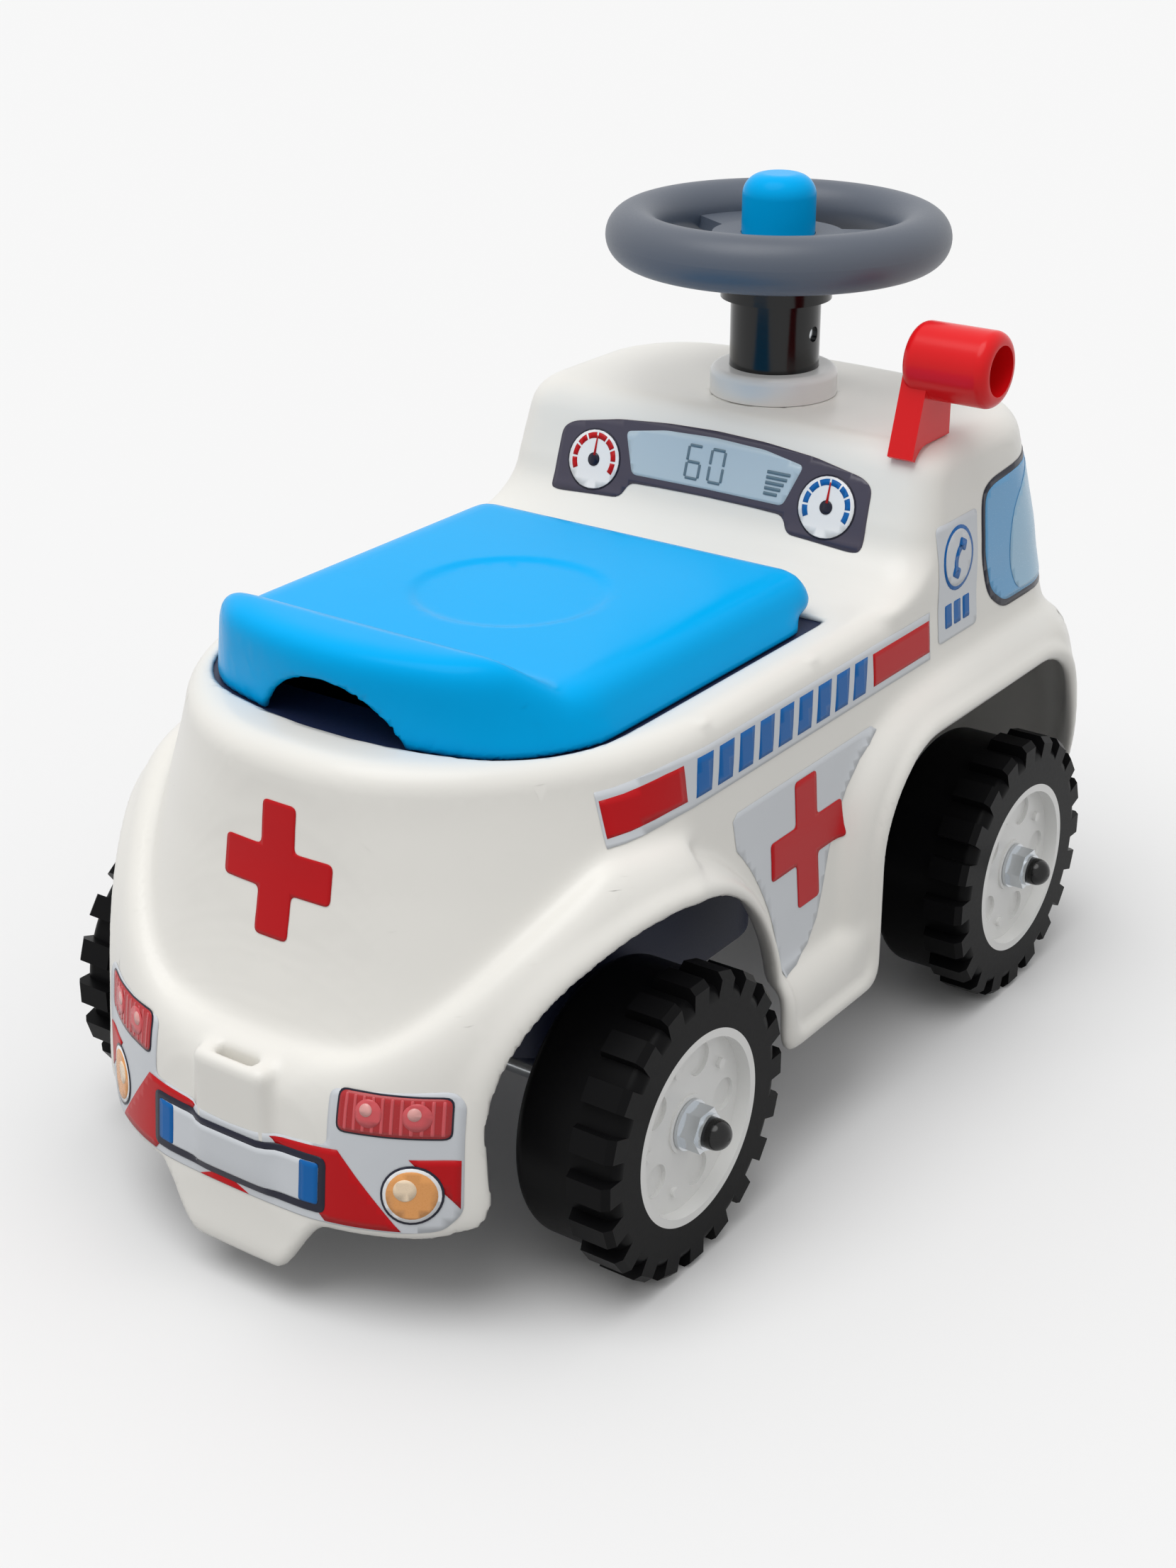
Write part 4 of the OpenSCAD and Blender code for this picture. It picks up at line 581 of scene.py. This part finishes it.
# Stripe along each side of the tub, which dips a little where it runs round the rear corner
STRIPE_FROM, STRIPE_TO, STRIPE_Z, STRIPE_H = -173, 90.5, 222.5, 24.4
STRIPE_DIP, DIP_FROM, DIP_L = 4, -127, 46
BLOCK_H, BLOCK_L, FORE_BLOCK_L, LETTER_COUNT, LETTER_GAP = 16.4, 45, 57, 9, 5.0


def stripe_band(x0, x1, height, slant=0):
    xs = np.linspace(x0, x1, max(2, int((x1 - x0) / 8)))
    mid = [STRIPE_Z - STRIPE_DIP * float(smooth((DIP_FROM - x) / DIP_L)) for x in xs]
    low = [(x, m - height / 2) for x, m in zip(xs, mid)]
    return low + [(x + slant, m + height / 2) for x, m in zip(xs, mid)][::-1]


stripe_areas = [(stripe_band(STRIPE_FROM, STRIPE_TO, STRIPE_H), silver_vinyl, 0),
                (stripe_band(STRIPE_FROM + 1.2, STRIPE_FROM + BLOCK_L, BLOCK_H), red_ink, 1),
                (stripe_band(STRIPE_TO - FORE_BLOCK_L, STRIPE_TO - 0.8, BLOCK_H), red_ink, 1)]
letter_from, letter_to = STRIPE_FROM + BLOCK_L + 6, STRIPE_TO - FORE_BLOCK_L - 8
pitch = (letter_to - letter_from + LETTER_GAP) / LETTER_COUNT
for k in range(LETTER_COUNT):
    x = letter_from + k * pitch
    stripe_areas.append((stripe_band(x, x + pitch - LETTER_GAP, BLOCK_H + 1, 3), blue_ink, 1))

# Panel with a plus between the fenders: its edges run along them
PLUS_X, PLUS_Z, PLUS_HALF, PLUS_ARM = -31.5, 159.5, 32, 9.6
PANEL_R, PANEL_FOOT = 126, 91
fender_side = [(REAR_CROWN_X + PANEL_R * math.cos(a), PANEL_FOOT + PANEL_R * math.sin(a))
               for a in np.radians(np.linspace(4, 43, 12))]
panel = [(-94, 192), (-90, 195), (30, 195.5), (33, 193), (17, 183), (6, 173), (-4, 160), (-12, 145),
         (-18, 130), (-24, 116), (-33, 106), (-46, 101)]
panel_areas = [(panel + fender_side, silver_vinyl, 0),
               (plus(PLUS_X, PLUS_Z, PLUS_HALF, PLUS_ARM, 2.6), red_ink, 1)]

# Call sign on the cab: a plain handset in a ring over plain bars
CALL_X, CALL_Z = 119.7, 255
HANDSET_TILT = math.radians(28)
handset = arc_band(CALL_X + 7.5, CALL_Z, 7.6, 11.4, 128, 232)


def tilted(corners):
    """Turns part of the handset about the middle of the call sign."""
    c, s = math.cos(HANDSET_TILT), math.sin(HANDSET_TILT)
    return [(CALL_X + c * (u - CALL_X) + s * (v - CALL_Z), CALL_Z - s * (u - CALL_X) + c * (v - CALL_Z))
            for u, v in corners]


call_areas = [(bar(99.2, 140.3, 214.5, 275.5, 4), silver_vinyl, 0),
              (disc(CALL_X, CALL_Z, 15.6, 16.6), blue_ink, 1),
              (disc(CALL_X, CALL_Z, 13.6, 14.6), silver_vinyl, 2),
              (tilted(handset), blue_ink, 3),
              (tilted(bar(CALL_X - 2.5, CALL_X + 5, CALL_Z + 4.6, CALL_Z + 10.2, 1.6)), blue_ink, 3),
              (tilted(bar(CALL_X - 2.5, CALL_X + 5, CALL_Z - 10.2, CALL_Z - 4.6, 1.6)), blue_ink, 3)]
for k in range(3):
    call_areas.append((bar(106.4 + 9.4 * k, 113.4 + 9.4 * k, 221, 233, 1), blue_ink, 1))

# Side window, carried round the front corner; the pale glint on its pane is a painted reflection
window = [(146, 281), (156, 286), (206, 290), (229, 287), (236, 276), (238, 240), (235, 219),
          (224, 213.5), (170, 213.5), (154, 224), (145, 247)]
pane = [(149.5, 279), (158, 282.6), (206, 286.4), (226, 283.8), (232.4, 275), (234.2, 240), (231.6, 221),
        (222, 217), (171.5, 217), (157, 226.5), (148.6, 248)]
glint = [(186, 218.5), (222, 218.5), (230.4, 222), (232.6, 240), (231, 274), (225, 281.6), (207, 284),
         (192, 276), (181, 264), (176, 249), (178, 233)]
window_areas = [(rounded(window, 7), navy_ink, 0),
                (rounded(pane, 6), glass_ink, 1),
                (rounded(glint, 8), painted_glint_ink, 2)]

for side, tag in ((-1, "right"), (1, "left")):
    for name, areas in (("stripe", stripe_areas), ("panel", panel_areas), ("call_sign", call_areas),
                        ("side_window", window_areas)):
        sticker(f"{name}_{tag}", areas, lambda u, v, s=side: (u, s * BESIDE, v), (0, -side, 0))

# Plus on the back of the tub, and the lamps and plate on the rear bumper
sticker("rear_plus", [(plus(0, 192, 30, 9.3, 3), red_ink, 0)], lambda u, v: (-BEYOND, u, v), (1, 0, 0))
base = [(-50, 115), (-50, 88.5), (0, 85.5), (50, 88.5), (50, 115), (99, 119), (104, 114), (104, 62),
        (97, 53), (84, 51.5), (-84, 51.5), (-97, 53), (-104, 62), (-104, 114), (-99, 119)]
bumper_areas = [(rounded(base, 4), silver_vinyl, 0),
                ([(-9, 51.8), (20, 51.8), (11, 56), (0, 56)], red_ink, 1)]
for flip in (False, True):
    half = [([(-21.5, 85.6), (-55, 87.6), (-82, 52.4), (-50, 52.4)], red_ink, 1),
            ([(-84, 87), (-103, 87.4), (-103, 64)], red_ink, 1),
            (bar(-99.5, -54, 96.6, 116.5, 4), navy_ink, 1),
            (bar(-98.8, -54.8, 97.4, 115.7, 3.6), lamp_ink, 2),
            (disc(-85.4, 70.3, 11.8, 14), navy_ink, 2), (disc(-85.4, 70.3, 10.9, 12.9), white_ink, 3),
            (disc(-85.4, 70.3, 9.6, 11.4), amber_ink, 4), (disc(-83, 72.6, 4.4, 5.2), amber_pale_ink, 5)]
    for k in range(11):
        y = -96.6 + 3.8 * k
        half.append((bar(y, y + 1.3, 98.4, 114.6, 0.5), lamp_pale_ink, 3))
    for y in (-86.5, -67.5):
        half.append((disc(y, 107, 5.6, 6.4), lamp_pale_ink, 4))
        half.append((disc(y + 1, 108.4, 2.6, 3), bulb_ink, 5))
    bumper_areas += [(mirrored(c) if flip else c, ink, coat) for c, ink, coat in half]
bumper_areas += [(bar(-50, 50, 55.5, 82.5, 4), navy_ink, 2),
                 (bar(-46.5, 46.5, 59.3, 79, 2), silver_vinyl, 3),
                 (bar(-46.5, -37, 59.3, 79, 1.6), blue_ink, 4),
                 (bar(37, 46.5, 59.3, 79, 1.6), blue_ink, 4)]
sticker("rear_lamps", bumper_areas, lambda u, v: (-BEYOND, u, v), (1, 0, 0))

# Instrument cluster on the dash: two dials with plain scales and a plain display
cluster = [(-95, 261), (-94, 291), (-88, 295), (-60, 300), (-30, 302.4), (0, 303.2), (30, 302.4),
           (60, 300), (88, 295), (94, 291), (95, 261), (90, 260), (51, 262), (47, 270), (30, 270.6),
           (0, 271), (-30, 270.6), (-47, 270), (-51, 262), (-90, 260)]
display = [(-54, 295), (-30, 299), (0, 300), (30, 299), (54, 295), (46, 274.4), (0, 274.8), (-46, 274.4)]
dash_areas = [(rounded(cluster, 4), slate_ink, 0), (rounded(display, 3), display_ink, 1)]
for side, ring_ink in ((-1, blue_ink), (1, red_ink)):
    y, z = side * 71, 278
    dash_areas += [(disc(y, z, 16.6, 15.6), navy_ink, 1), (disc(y, z, 15.8, 14.8), white_ink, 2),
                   (disc(y, z, 3.6, 3.4), navy_ink, 4)]
    for k in range(8):
        dash_areas.append((arc_band(y, z, 10.6, 13.6, -30 + 30 * k + 2, -30 + 30 * k + 27), ring_ink, 3))
    needle = [(y - 0.7, z + 2), (y + 0.7, z + 2), (y + 0.3, z + 12), (y - 0.3, z + 12)]
    dash_areas.append((needle, red_ink, 5))
# Plain numbers on the display, each bar of a digit drawn as a block
DIGIT_Z = 286.5
DIGIT_BARS = {"top": (0, 8, 7.2, 1.4), "mid": (0, 0, 7.2, 1.4), "foot": (0, -8, 7.2, 1.4),
              "a": (-4, 4, 1.4, 6.8), "b": (4, 4, 1.4, 6.8), "c": (-4, -4, 1.4, 6.8), "d": (4, -4, 1.4, 6.8)}
for y, bars in ((10, ("top", "mid", "foot", "a", "c", "d")), (-4, ("top", "foot", "a", "b", "c", "d"))):
    for key in bars:
        u, v, w, h = DIGIT_BARS[key]
        block = bar(y - u - w / 2, y - u + w / 2, DIGIT_Z + v - h / 2, DIGIT_Z + v + h / 2, 0.4)
        dash_areas.append((block, segment_ink, 2))
for k in range(5):
    dash_areas.append((bar(-42 - 1.4 * k, -34, 278 + 2.6 * k, 279.6 + 2.6 * k, 0.3), segment_ink, 2))
sticker("instrument_cluster", dash_areas, lambda u, v: (OVER_SEAT, u, v), (1, 0, 0))

# Front, which the photo doesn't show: a plain windscreen, two lamps and a grille
screen = [(-96, 222), (-92, 288), (-60, 294), (0, 296), (60, 294), (92, 288), (96, 222), (0, 216)]
screen_in = [(-91.5, 226), (-88, 284.6), (-58, 290), (0, 292), (58, 290), (88, 284.6), (91.5, 226),
             (0, 220.4)]
# The pale band low on the windscreen is a painted reflection
screen_glint = [(-91, 228), (-90, 240), (-30, 232), (40, 244), (90, 236), (91, 228), (0, 221)]
front_areas = [(rounded(screen, 10), navy_ink, 0),
               (rounded(screen_in, 9), glass_ink, 1),
               (rounded(screen_glint, 8), painted_glint_ink, 2)]
sticker("windscreen", front_areas, lambda u, v: (BEYOND, u, v), (-1, 0, 0))
grille_areas = [(bar(-62, 62, 62, 112, 6), silver_vinyl, 0), (bar(-58, 58, 86, 108, 4), navy_ink, 1),
                (bar(-44, 44, 65, 81, 3), white_ink, 1)]
for k in range(4):
    grille_areas.append((bar(-55, 55, 88.6 + 4.8 * k, 90.8 + 4.8 * k, 0.8), silver_vinyl, 2))
for y in (-92, 92):
    grille_areas += [(disc(y, 92, 20, 20), silver_vinyl, 0), (disc(y, 92, 18, 18), navy_ink, 1),
                     (disc(y, 92, 16, 16), white_ink, 2), (disc(y + 3, 96, 6, 6), display_ink, 3)]
sticker("grille", grille_areas, lambda u, v: (BEYOND, u, v), (-1, 0, 0))

# Seat lid
# Bright blue polypropylene, moulded hollow: a flat pan, a raised rear lip with a hand grip, and a round nose
# that swings on two hinge pins. Ribs stiffen it from below.
LID_GRID_LOW, LID_GRID_SIZE = np.array([-236, -118, 232]), (146, 119, 36)
LX, LY, LZ = grid_axes(LID_GRID_LOW, LID_GRID_SIZE)
LID_REAR_X, LIP_L, SLOPE_L = REAR_X + LID_SETBACK, 26, 22
PAN_TOP, LID_T, LID_ROUND, LID_FOOT = RIM_H + 23, 4, 12, 243.3
LID_SOFTEN, LID_EDGE_ROUND = 3.0, 2.0
LID_BEHIND_X, LID_BELOW = LID_REAR_X - 30, LID_FOOT - 40
lid_rings = []
for s in np.linspace(-1.2, 1.4, 14):
    lid_rings.append([[x, y, LID_FOOT + (LIP_TOP - LID_FOOT) * s] for x, y in lid_outline(0, s)])
lid_profile = [(LID_BEHIND_X, LID_BELOW), (LID_BEHIND_X, LIP_TOP), (LID_REAR_X + LIP_L, LIP_TOP),
               (LID_REAR_X + LIP_L + SLOPE_L, PAN_TOP)]
for a in np.radians(np.arange(90, -91, -10)):
    nose_top = PAN_TOP if a > 1.5 else HINGE_H + NOSE_R * math.sin(a)
    lid_profile.append((HINGE_X + NOSE_R * math.cos(a), nose_top))
lid_profile += [(HINGE_X - NOSE_R, HINGE_H - NOSE_R), (HINGE_X - NOSE_R, LID_BELOW)]
side_view = distance_to_polygon(LX[:, 0, :], LZ[:, 0, :], np.array(lid_profile))[:, None, :]
top_view = field_of_loft(lid_rings, LID_GRID_LOW, LID_GRID_SIZE)
lid_field = -smooth_min(-top_view, -side_view, LID_ROUND)
lid_field = soften(lid_field, LID_SOFTEN)
# Shallow round dish in the pan
DISH_X, DISH_R, DISH_D, DISH_FALL = REAR_AXLE_X + 75, 48, 1.2, 5
dish = smooth((DISH_R - np.hypot(LX - DISH_X, LY)) / DISH_FALL)
lid_field = lid_field + DISH_D * dish * (LZ > PAN_TOP - LID_ROUND)
lid_walls = np.maximum(lid_field, -(lid_field + LID_T))
GRIP_W, GRIP_UP, GRIP_D = 76, 22, 14
grip_r = (GRIP_W ** 2 / 4 + GRIP_UP ** 2) / (2 * GRIP_UP)
grip = np.maximum(np.hypot(LY, LZ - RIM_H - GRIP_UP + grip_r) - grip_r, LX - LID_REAR_X - GRIP_D)
lid_walls = -smooth_min(-lid_walls, np.minimum(grip, LZ - LID_FOOT), LID_EDGE_ROUND)
seat = mesh_of_field("seat_moulding", lid_walls, LID_GRID_LOW, MESH_EASE)
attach(seat, "seat")
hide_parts("seat_lid")
# Polypropylene dyed bright blue: glossy, with a clean highlight along each rounded edge
blue_polypropylene = moulded("blue_polypropylene", "#00B0F6", 0.24, 1.6, 0.004, sheen=0.05, mottle=0.05)
seat.data.materials.append(blue_polypropylene)

# Ribs and ring under the pan, and the cheeks beside the hinge ears
RIB_COUNT, RIB_L, RIB_T, RIB_D, RING_R, RING_SIDES = 12, 92, 2.2, 8, 20, 24
ribs = bmesh.new()


def slab(x0, x1, y0, y1, z0, z1, turn=0.0, centre=(0, 0)):
    made = bmesh.ops.create_cube(ribs, size=1)["verts"]
    for v in made:
        x, y = x0 + (v.co.x + 0.5) * (x1 - x0), y0 + (v.co.y + 0.5) * (y1 - y0)
        c, s = math.cos(turn), math.sin(turn)
        z = z0 + (v.co.z + 0.5) * (z1 - z0)
        v.co = Vector((centre[0] + c * x - s * y, centre[1] + s * x + c * y, z)) * MM


for k in range(RIB_COUNT):
    slab(RING_R, RIB_L, -RIB_T / 2, RIB_T / 2, PAN_TOP - LID_T - RIB_D, PAN_TOP - LID_T + 1,
         2 * math.pi * k / RIB_COUNT, (DISH_X, 0))
for k in range(RING_SIDES):
    half = RING_R * math.tan(math.pi / RING_SIDES)
    slab(RING_R - RIB_T / 2, RING_R + RIB_T / 2, -half, half, PAN_TOP - LID_T - RIB_D, PAN_TOP - LID_T + 1,
         2 * math.pi * k / RING_SIDES, (DISH_X, 0))
EAR_SPREAD, EAR_T, CHEEK_T, EAR_R = 160, 8, 5, 5
for s in (-1, 1):
    for d in (-1, 1):
        y = s * EAR_SPREAD / 2 + d * (EAR_T / 2 + CHEEK_T / 2 + 0.3)
        slab(HINGE_X - 2 * NOSE_R, HINGE_X + EAR_R - 1, y - CHEEK_T / 2, y + CHEEK_T / 2,
             HINGE_H - EAR_R, HINGE_H + NOSE_R - 2)
rib_mesh = bpy.data.meshes.new("seat_ribs")
ribs.to_mesh(rib_mesh)
ribs.free()
rib_mesh.materials.append(blue_polypropylene)
seat_ribs = bpy.data.objects.new("seat_ribs", rib_mesh)
bpy.context.scene.collection.objects.link(seat_ribs)
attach(seat_ribs, "seat")


# Solid fittings
# The other pieces keep their own shapes; their edges get the small rounding that a mould or a turning leaves.
def finish_of(names, material, edge):
    for name in names:
        piece = nodes[name]
        piece.data.materials.clear()
        piece.data.materials.append(material)
        piece.data.shade_smooth()
        piece.data.set_sharp_from_angle(angle=math.radians(32))
        if edge:
            bevel = piece.modifiers.new("edge", "BEVEL")
            bevel.width = edge * MM
            bevel.segments = 2
            bevel.limit_method = "ANGLE"
            bevel.angle_limit = math.radians(38)


# Underframe: navy polypropylene, matt where it left the mould; the navy is painted shade, for the shadowed
# inside of the bin seen through the seat's hand grip
finish_of(["underframe"], moulded("navy_shade_polypropylene", "#1B2545", 0.5, 1.2, 0.008), 0)
# Steering wheel: dark polypropylene with a spark-eroded grain, so its highlights are broad and dull
slate_grained = moulded("slate_grained", "#5A616D", 0.42, 1.1, 0.03, mottle=0.08)
finish_of(["steering_wheel"], slate_grained, 0.8)
# Horn button: the seat's blue, polished
finish_of(["horn_button"], blue_polypropylene, 0.5)
# Steering column: black polypropylene from a polished mould
black_polished = moulded("black_polished", "#0A0A0B", 0.16, 1.4, 0.006, sheen=0.4)
finish_of(["axle_carrier", "steering_column", "front_axle_caps", "rear_axle_caps"], black_polished, 0.6)
# Deck bush and wheel discs: white polypropylene, glossier than the shell
white_polished = moulded("white_polished", "#EDEDEB", 0.25, 1.4, 0.001, mottle=0.02)
finish_of(["column_collar", "hub_rear_right", "hub_rear_left", "hub_front_right", "hub_front_left"],
          white_polished, 0.5)
# Tyres: black blow-moulded polyethylene, waxy and slightly dull
tyre_black = moulded("tyre_black", "#111112", 0.36, 1.8, 0.008, sheen=0.06, mottle=0.1)
finish_of(["tyre_rear_right", "tyre_rear_left", "tyre_front_right", "tyre_front_left"], tyre_black, 0.9)
# Siren: red polypropylene
red_polypropylene = moulded("red_polypropylene", "#EA141A", 0.22, 1.4, 0.004, sheen=0.25, mottle=0.06)
finish_of(["siren_horn"], red_polypropylene, 0.8)
# Horn bulb: soft rubber bellows inside the wheel's hub.
# It stands on the hub's plate and the button squeezes it.
bulb_low, bulb_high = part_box("squeaker")
BULB_FOLDS, BULB_ROUND, BULB_STEPS = 3, 32, 25
bulb_r = (bulb_high[0] - bulb_low[0]) / 2
bulb_h = bulb_high[2] - bulb_low[2]
bulb_x, bulb_y = (bulb_low[0] + bulb_high[0]) / 2, (bulb_low[1] + bulb_high[1]) / 2
bulb_points = []
for share in np.linspace(0, 1, BULB_STEPS):
    r = bulb_r * (0.9 - 0.1 * math.cos(2 * math.pi * BULB_FOLDS * share))
    for turn in np.linspace(0, 2 * math.pi, BULB_ROUND, endpoint=False):
        bulb_points.append((bulb_x + r * math.cos(turn), bulb_y + r * math.sin(turn),
                            bulb_low[2] + bulb_h * share))
bulb_faces = [list(range(BULB_ROUND))[::-1], list(range(len(bulb_points) - BULB_ROUND, len(bulb_points)))]
for row in range(BULB_STEPS - 1):
    for k in range(BULB_ROUND):
        a, b = row * BULB_ROUND + k, row * BULB_ROUND + (k + 1) % BULB_ROUND
        bulb_faces.append([a, b, b + BULB_ROUND, a + BULB_ROUND])
bulb_mesh = bpy.data.meshes.new("horn_bulb")
bulb_mesh.from_pydata(bulb_points, [], bulb_faces)
bulb_mesh.shade_smooth()
bulb_mesh.set_sharp_from_angle(angle=math.radians(40))
bulb_mesh.materials.append(moulded("bulb_rubber", "#2A2A2C", 0.6, 0.8, 0.02))
bulb = bpy.data.objects.new("horn_bulb", bulb_mesh)
bpy.context.scene.collection.objects.link(bulb)
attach(bulb, "steering")
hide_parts("squeaker")
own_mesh(bulb)
# Axles, shaft and fixings: zinc-plated steel, bright with a fine drawn texture
zinc_plate = moulded("zinc_plate", "#D4D8DC", 0.2, 0.6, 0.003, metallic=1.0)
finish_of(["front_axle_nuts", "rear_axle_nuts"], zinc_plate, 0.4)
finish_of(["underframe_screws", "seat_hinge_pins", "column_screws", "shaft_clip", "steering_shaft",
           "carrier_bolt", "front_axle", "rear_axle", "front_axle_spacers", "rear_axle_spacers",
           "front_axle_washers", "rear_axle_washers", "siren_screw"], zinc_plate, 0)

# Stage
# A plain pale floor that runs out of view, a sky that is brightest overhead, and one wide soft lamp.
FLOOR_HALF, FLOOR_SEEN, FLOOR_LIT = 14, "#EBEBEB", "#A8A8A8"


def seen_directly(tree):
    """1 where the picture or a reflection shows the surface, 0 where it only lights the object."""
    path = add(tree, "LightPath").outputs
    shown = path["Is Camera Ray"]
    for kind in ("Is Glossy Ray", "Is Transmission Ray"):
        shown = add(tree, "Math", {0: shown, 1: path[kind]}, operation="MAXIMUM").outputs[0]
    return shown


floor_mesh = bpy.data.meshes.new("floor")
floor_corners = [(-1, -1), (1, -1), (1, 1), (-1, 1)]
floor_mesh.from_pydata([(FLOOR_HALF * x, FLOOR_HALF * y, 0) for x, y in floor_corners], [], [[0, 1, 2, 3]])
floor = bpy.data.objects.new("floor", floor_mesh)
bpy.context.scene.collection.objects.link(floor)
paper = bpy.data.materials.new("floor_paper")
paper.use_nodes = True
paper.node_tree.nodes.clear()
# Seen directly the paper is pale; the light that it throws back up at the object is that of a greyer floor
shown_floor = seen_directly(paper.node_tree)
tone = add(paper.node_tree, "Mix", {
    0: shown_floor, 6: rgb(FLOOR_LIT), 7: rgb(FLOOR_SEEN)}, data_type="RGBA").outputs[2]
matt = add(paper.node_tree, "BsdfDiffuse", {"Color": tone})
add(paper.node_tree, "OutputMaterial", {"Surface": matt.outputs[0]})
floor_mesh.materials.append(paper)

SKY_LOW, SKY_HIGH, BACKDROP = 0.36, 0.92, 0.93
SUN_LIGHT, SUN_SPREAD, SUN_ROLL, SUN_PITCH = 1.3, 45, -4, -19
world = bpy.data.worlds.new("sky")
world.use_nodes = True
bpy.context.scene.world = world
sky = world.node_tree.nodes["Background"]
sky.inputs["Color"].default_value = (1, 1, 1, 1)
toward = add(world.node_tree, "TexCoord").outputs["Generated"]
height = add(world.node_tree, "SeparateXYZ", {"Vector": toward}).outputs["Z"]
bright = add(world.node_tree, "MapRange", {
    "Value": height, "From Min": 0.0, "From Max": 1.0, "To Min": SKY_LOW, "To Max": SKY_HIGH})
shown_sky = seen_directly(world.node_tree)
level = add(world.node_tree, "Mix", {
    0: shown_sky, 2: bright.outputs["Result"], 3: BACKDROP}, data_type="FLOAT").outputs[0]
world.node_tree.links.new(level, sky.inputs["Strength"])
sun = bpy.data.objects.new("soft_lamp", bpy.data.lights.new("soft_lamp", "SUN"))
sun.data.energy = SUN_LIGHT
sun.data.angle = math.radians(SUN_SPREAD)
sun.rotation_euler = (math.radians(SUN_ROLL), math.radians(SUN_PITCH), 0)
bpy.context.scene.collection.objects.link(sun)

# Camera, where the photograph was taken from
HEADING, TILT, LENS = math.radians(35.384), math.radians(24.454), 56.56
camera = bpy.data.objects.new("camera", bpy.data.cameras.new("camera"))
camera.location = (-0.94011, -0.65576, 0.66183)
look = Vector((math.cos(TILT) * math.cos(HEADING), math.cos(TILT) * math.sin(HEADING), -math.sin(TILT)))
camera.rotation_euler = look.to_track_quat("-Z", "Y").to_euler()
camera.data.lens = LENS
camera.data.sensor_width = 36
camera.data.clip_end = 60
bpy.context.scene.collection.objects.link(camera)
bpy.context.scene.camera = camera
bpy.context.scene.view_settings.view_transform = "Standard"
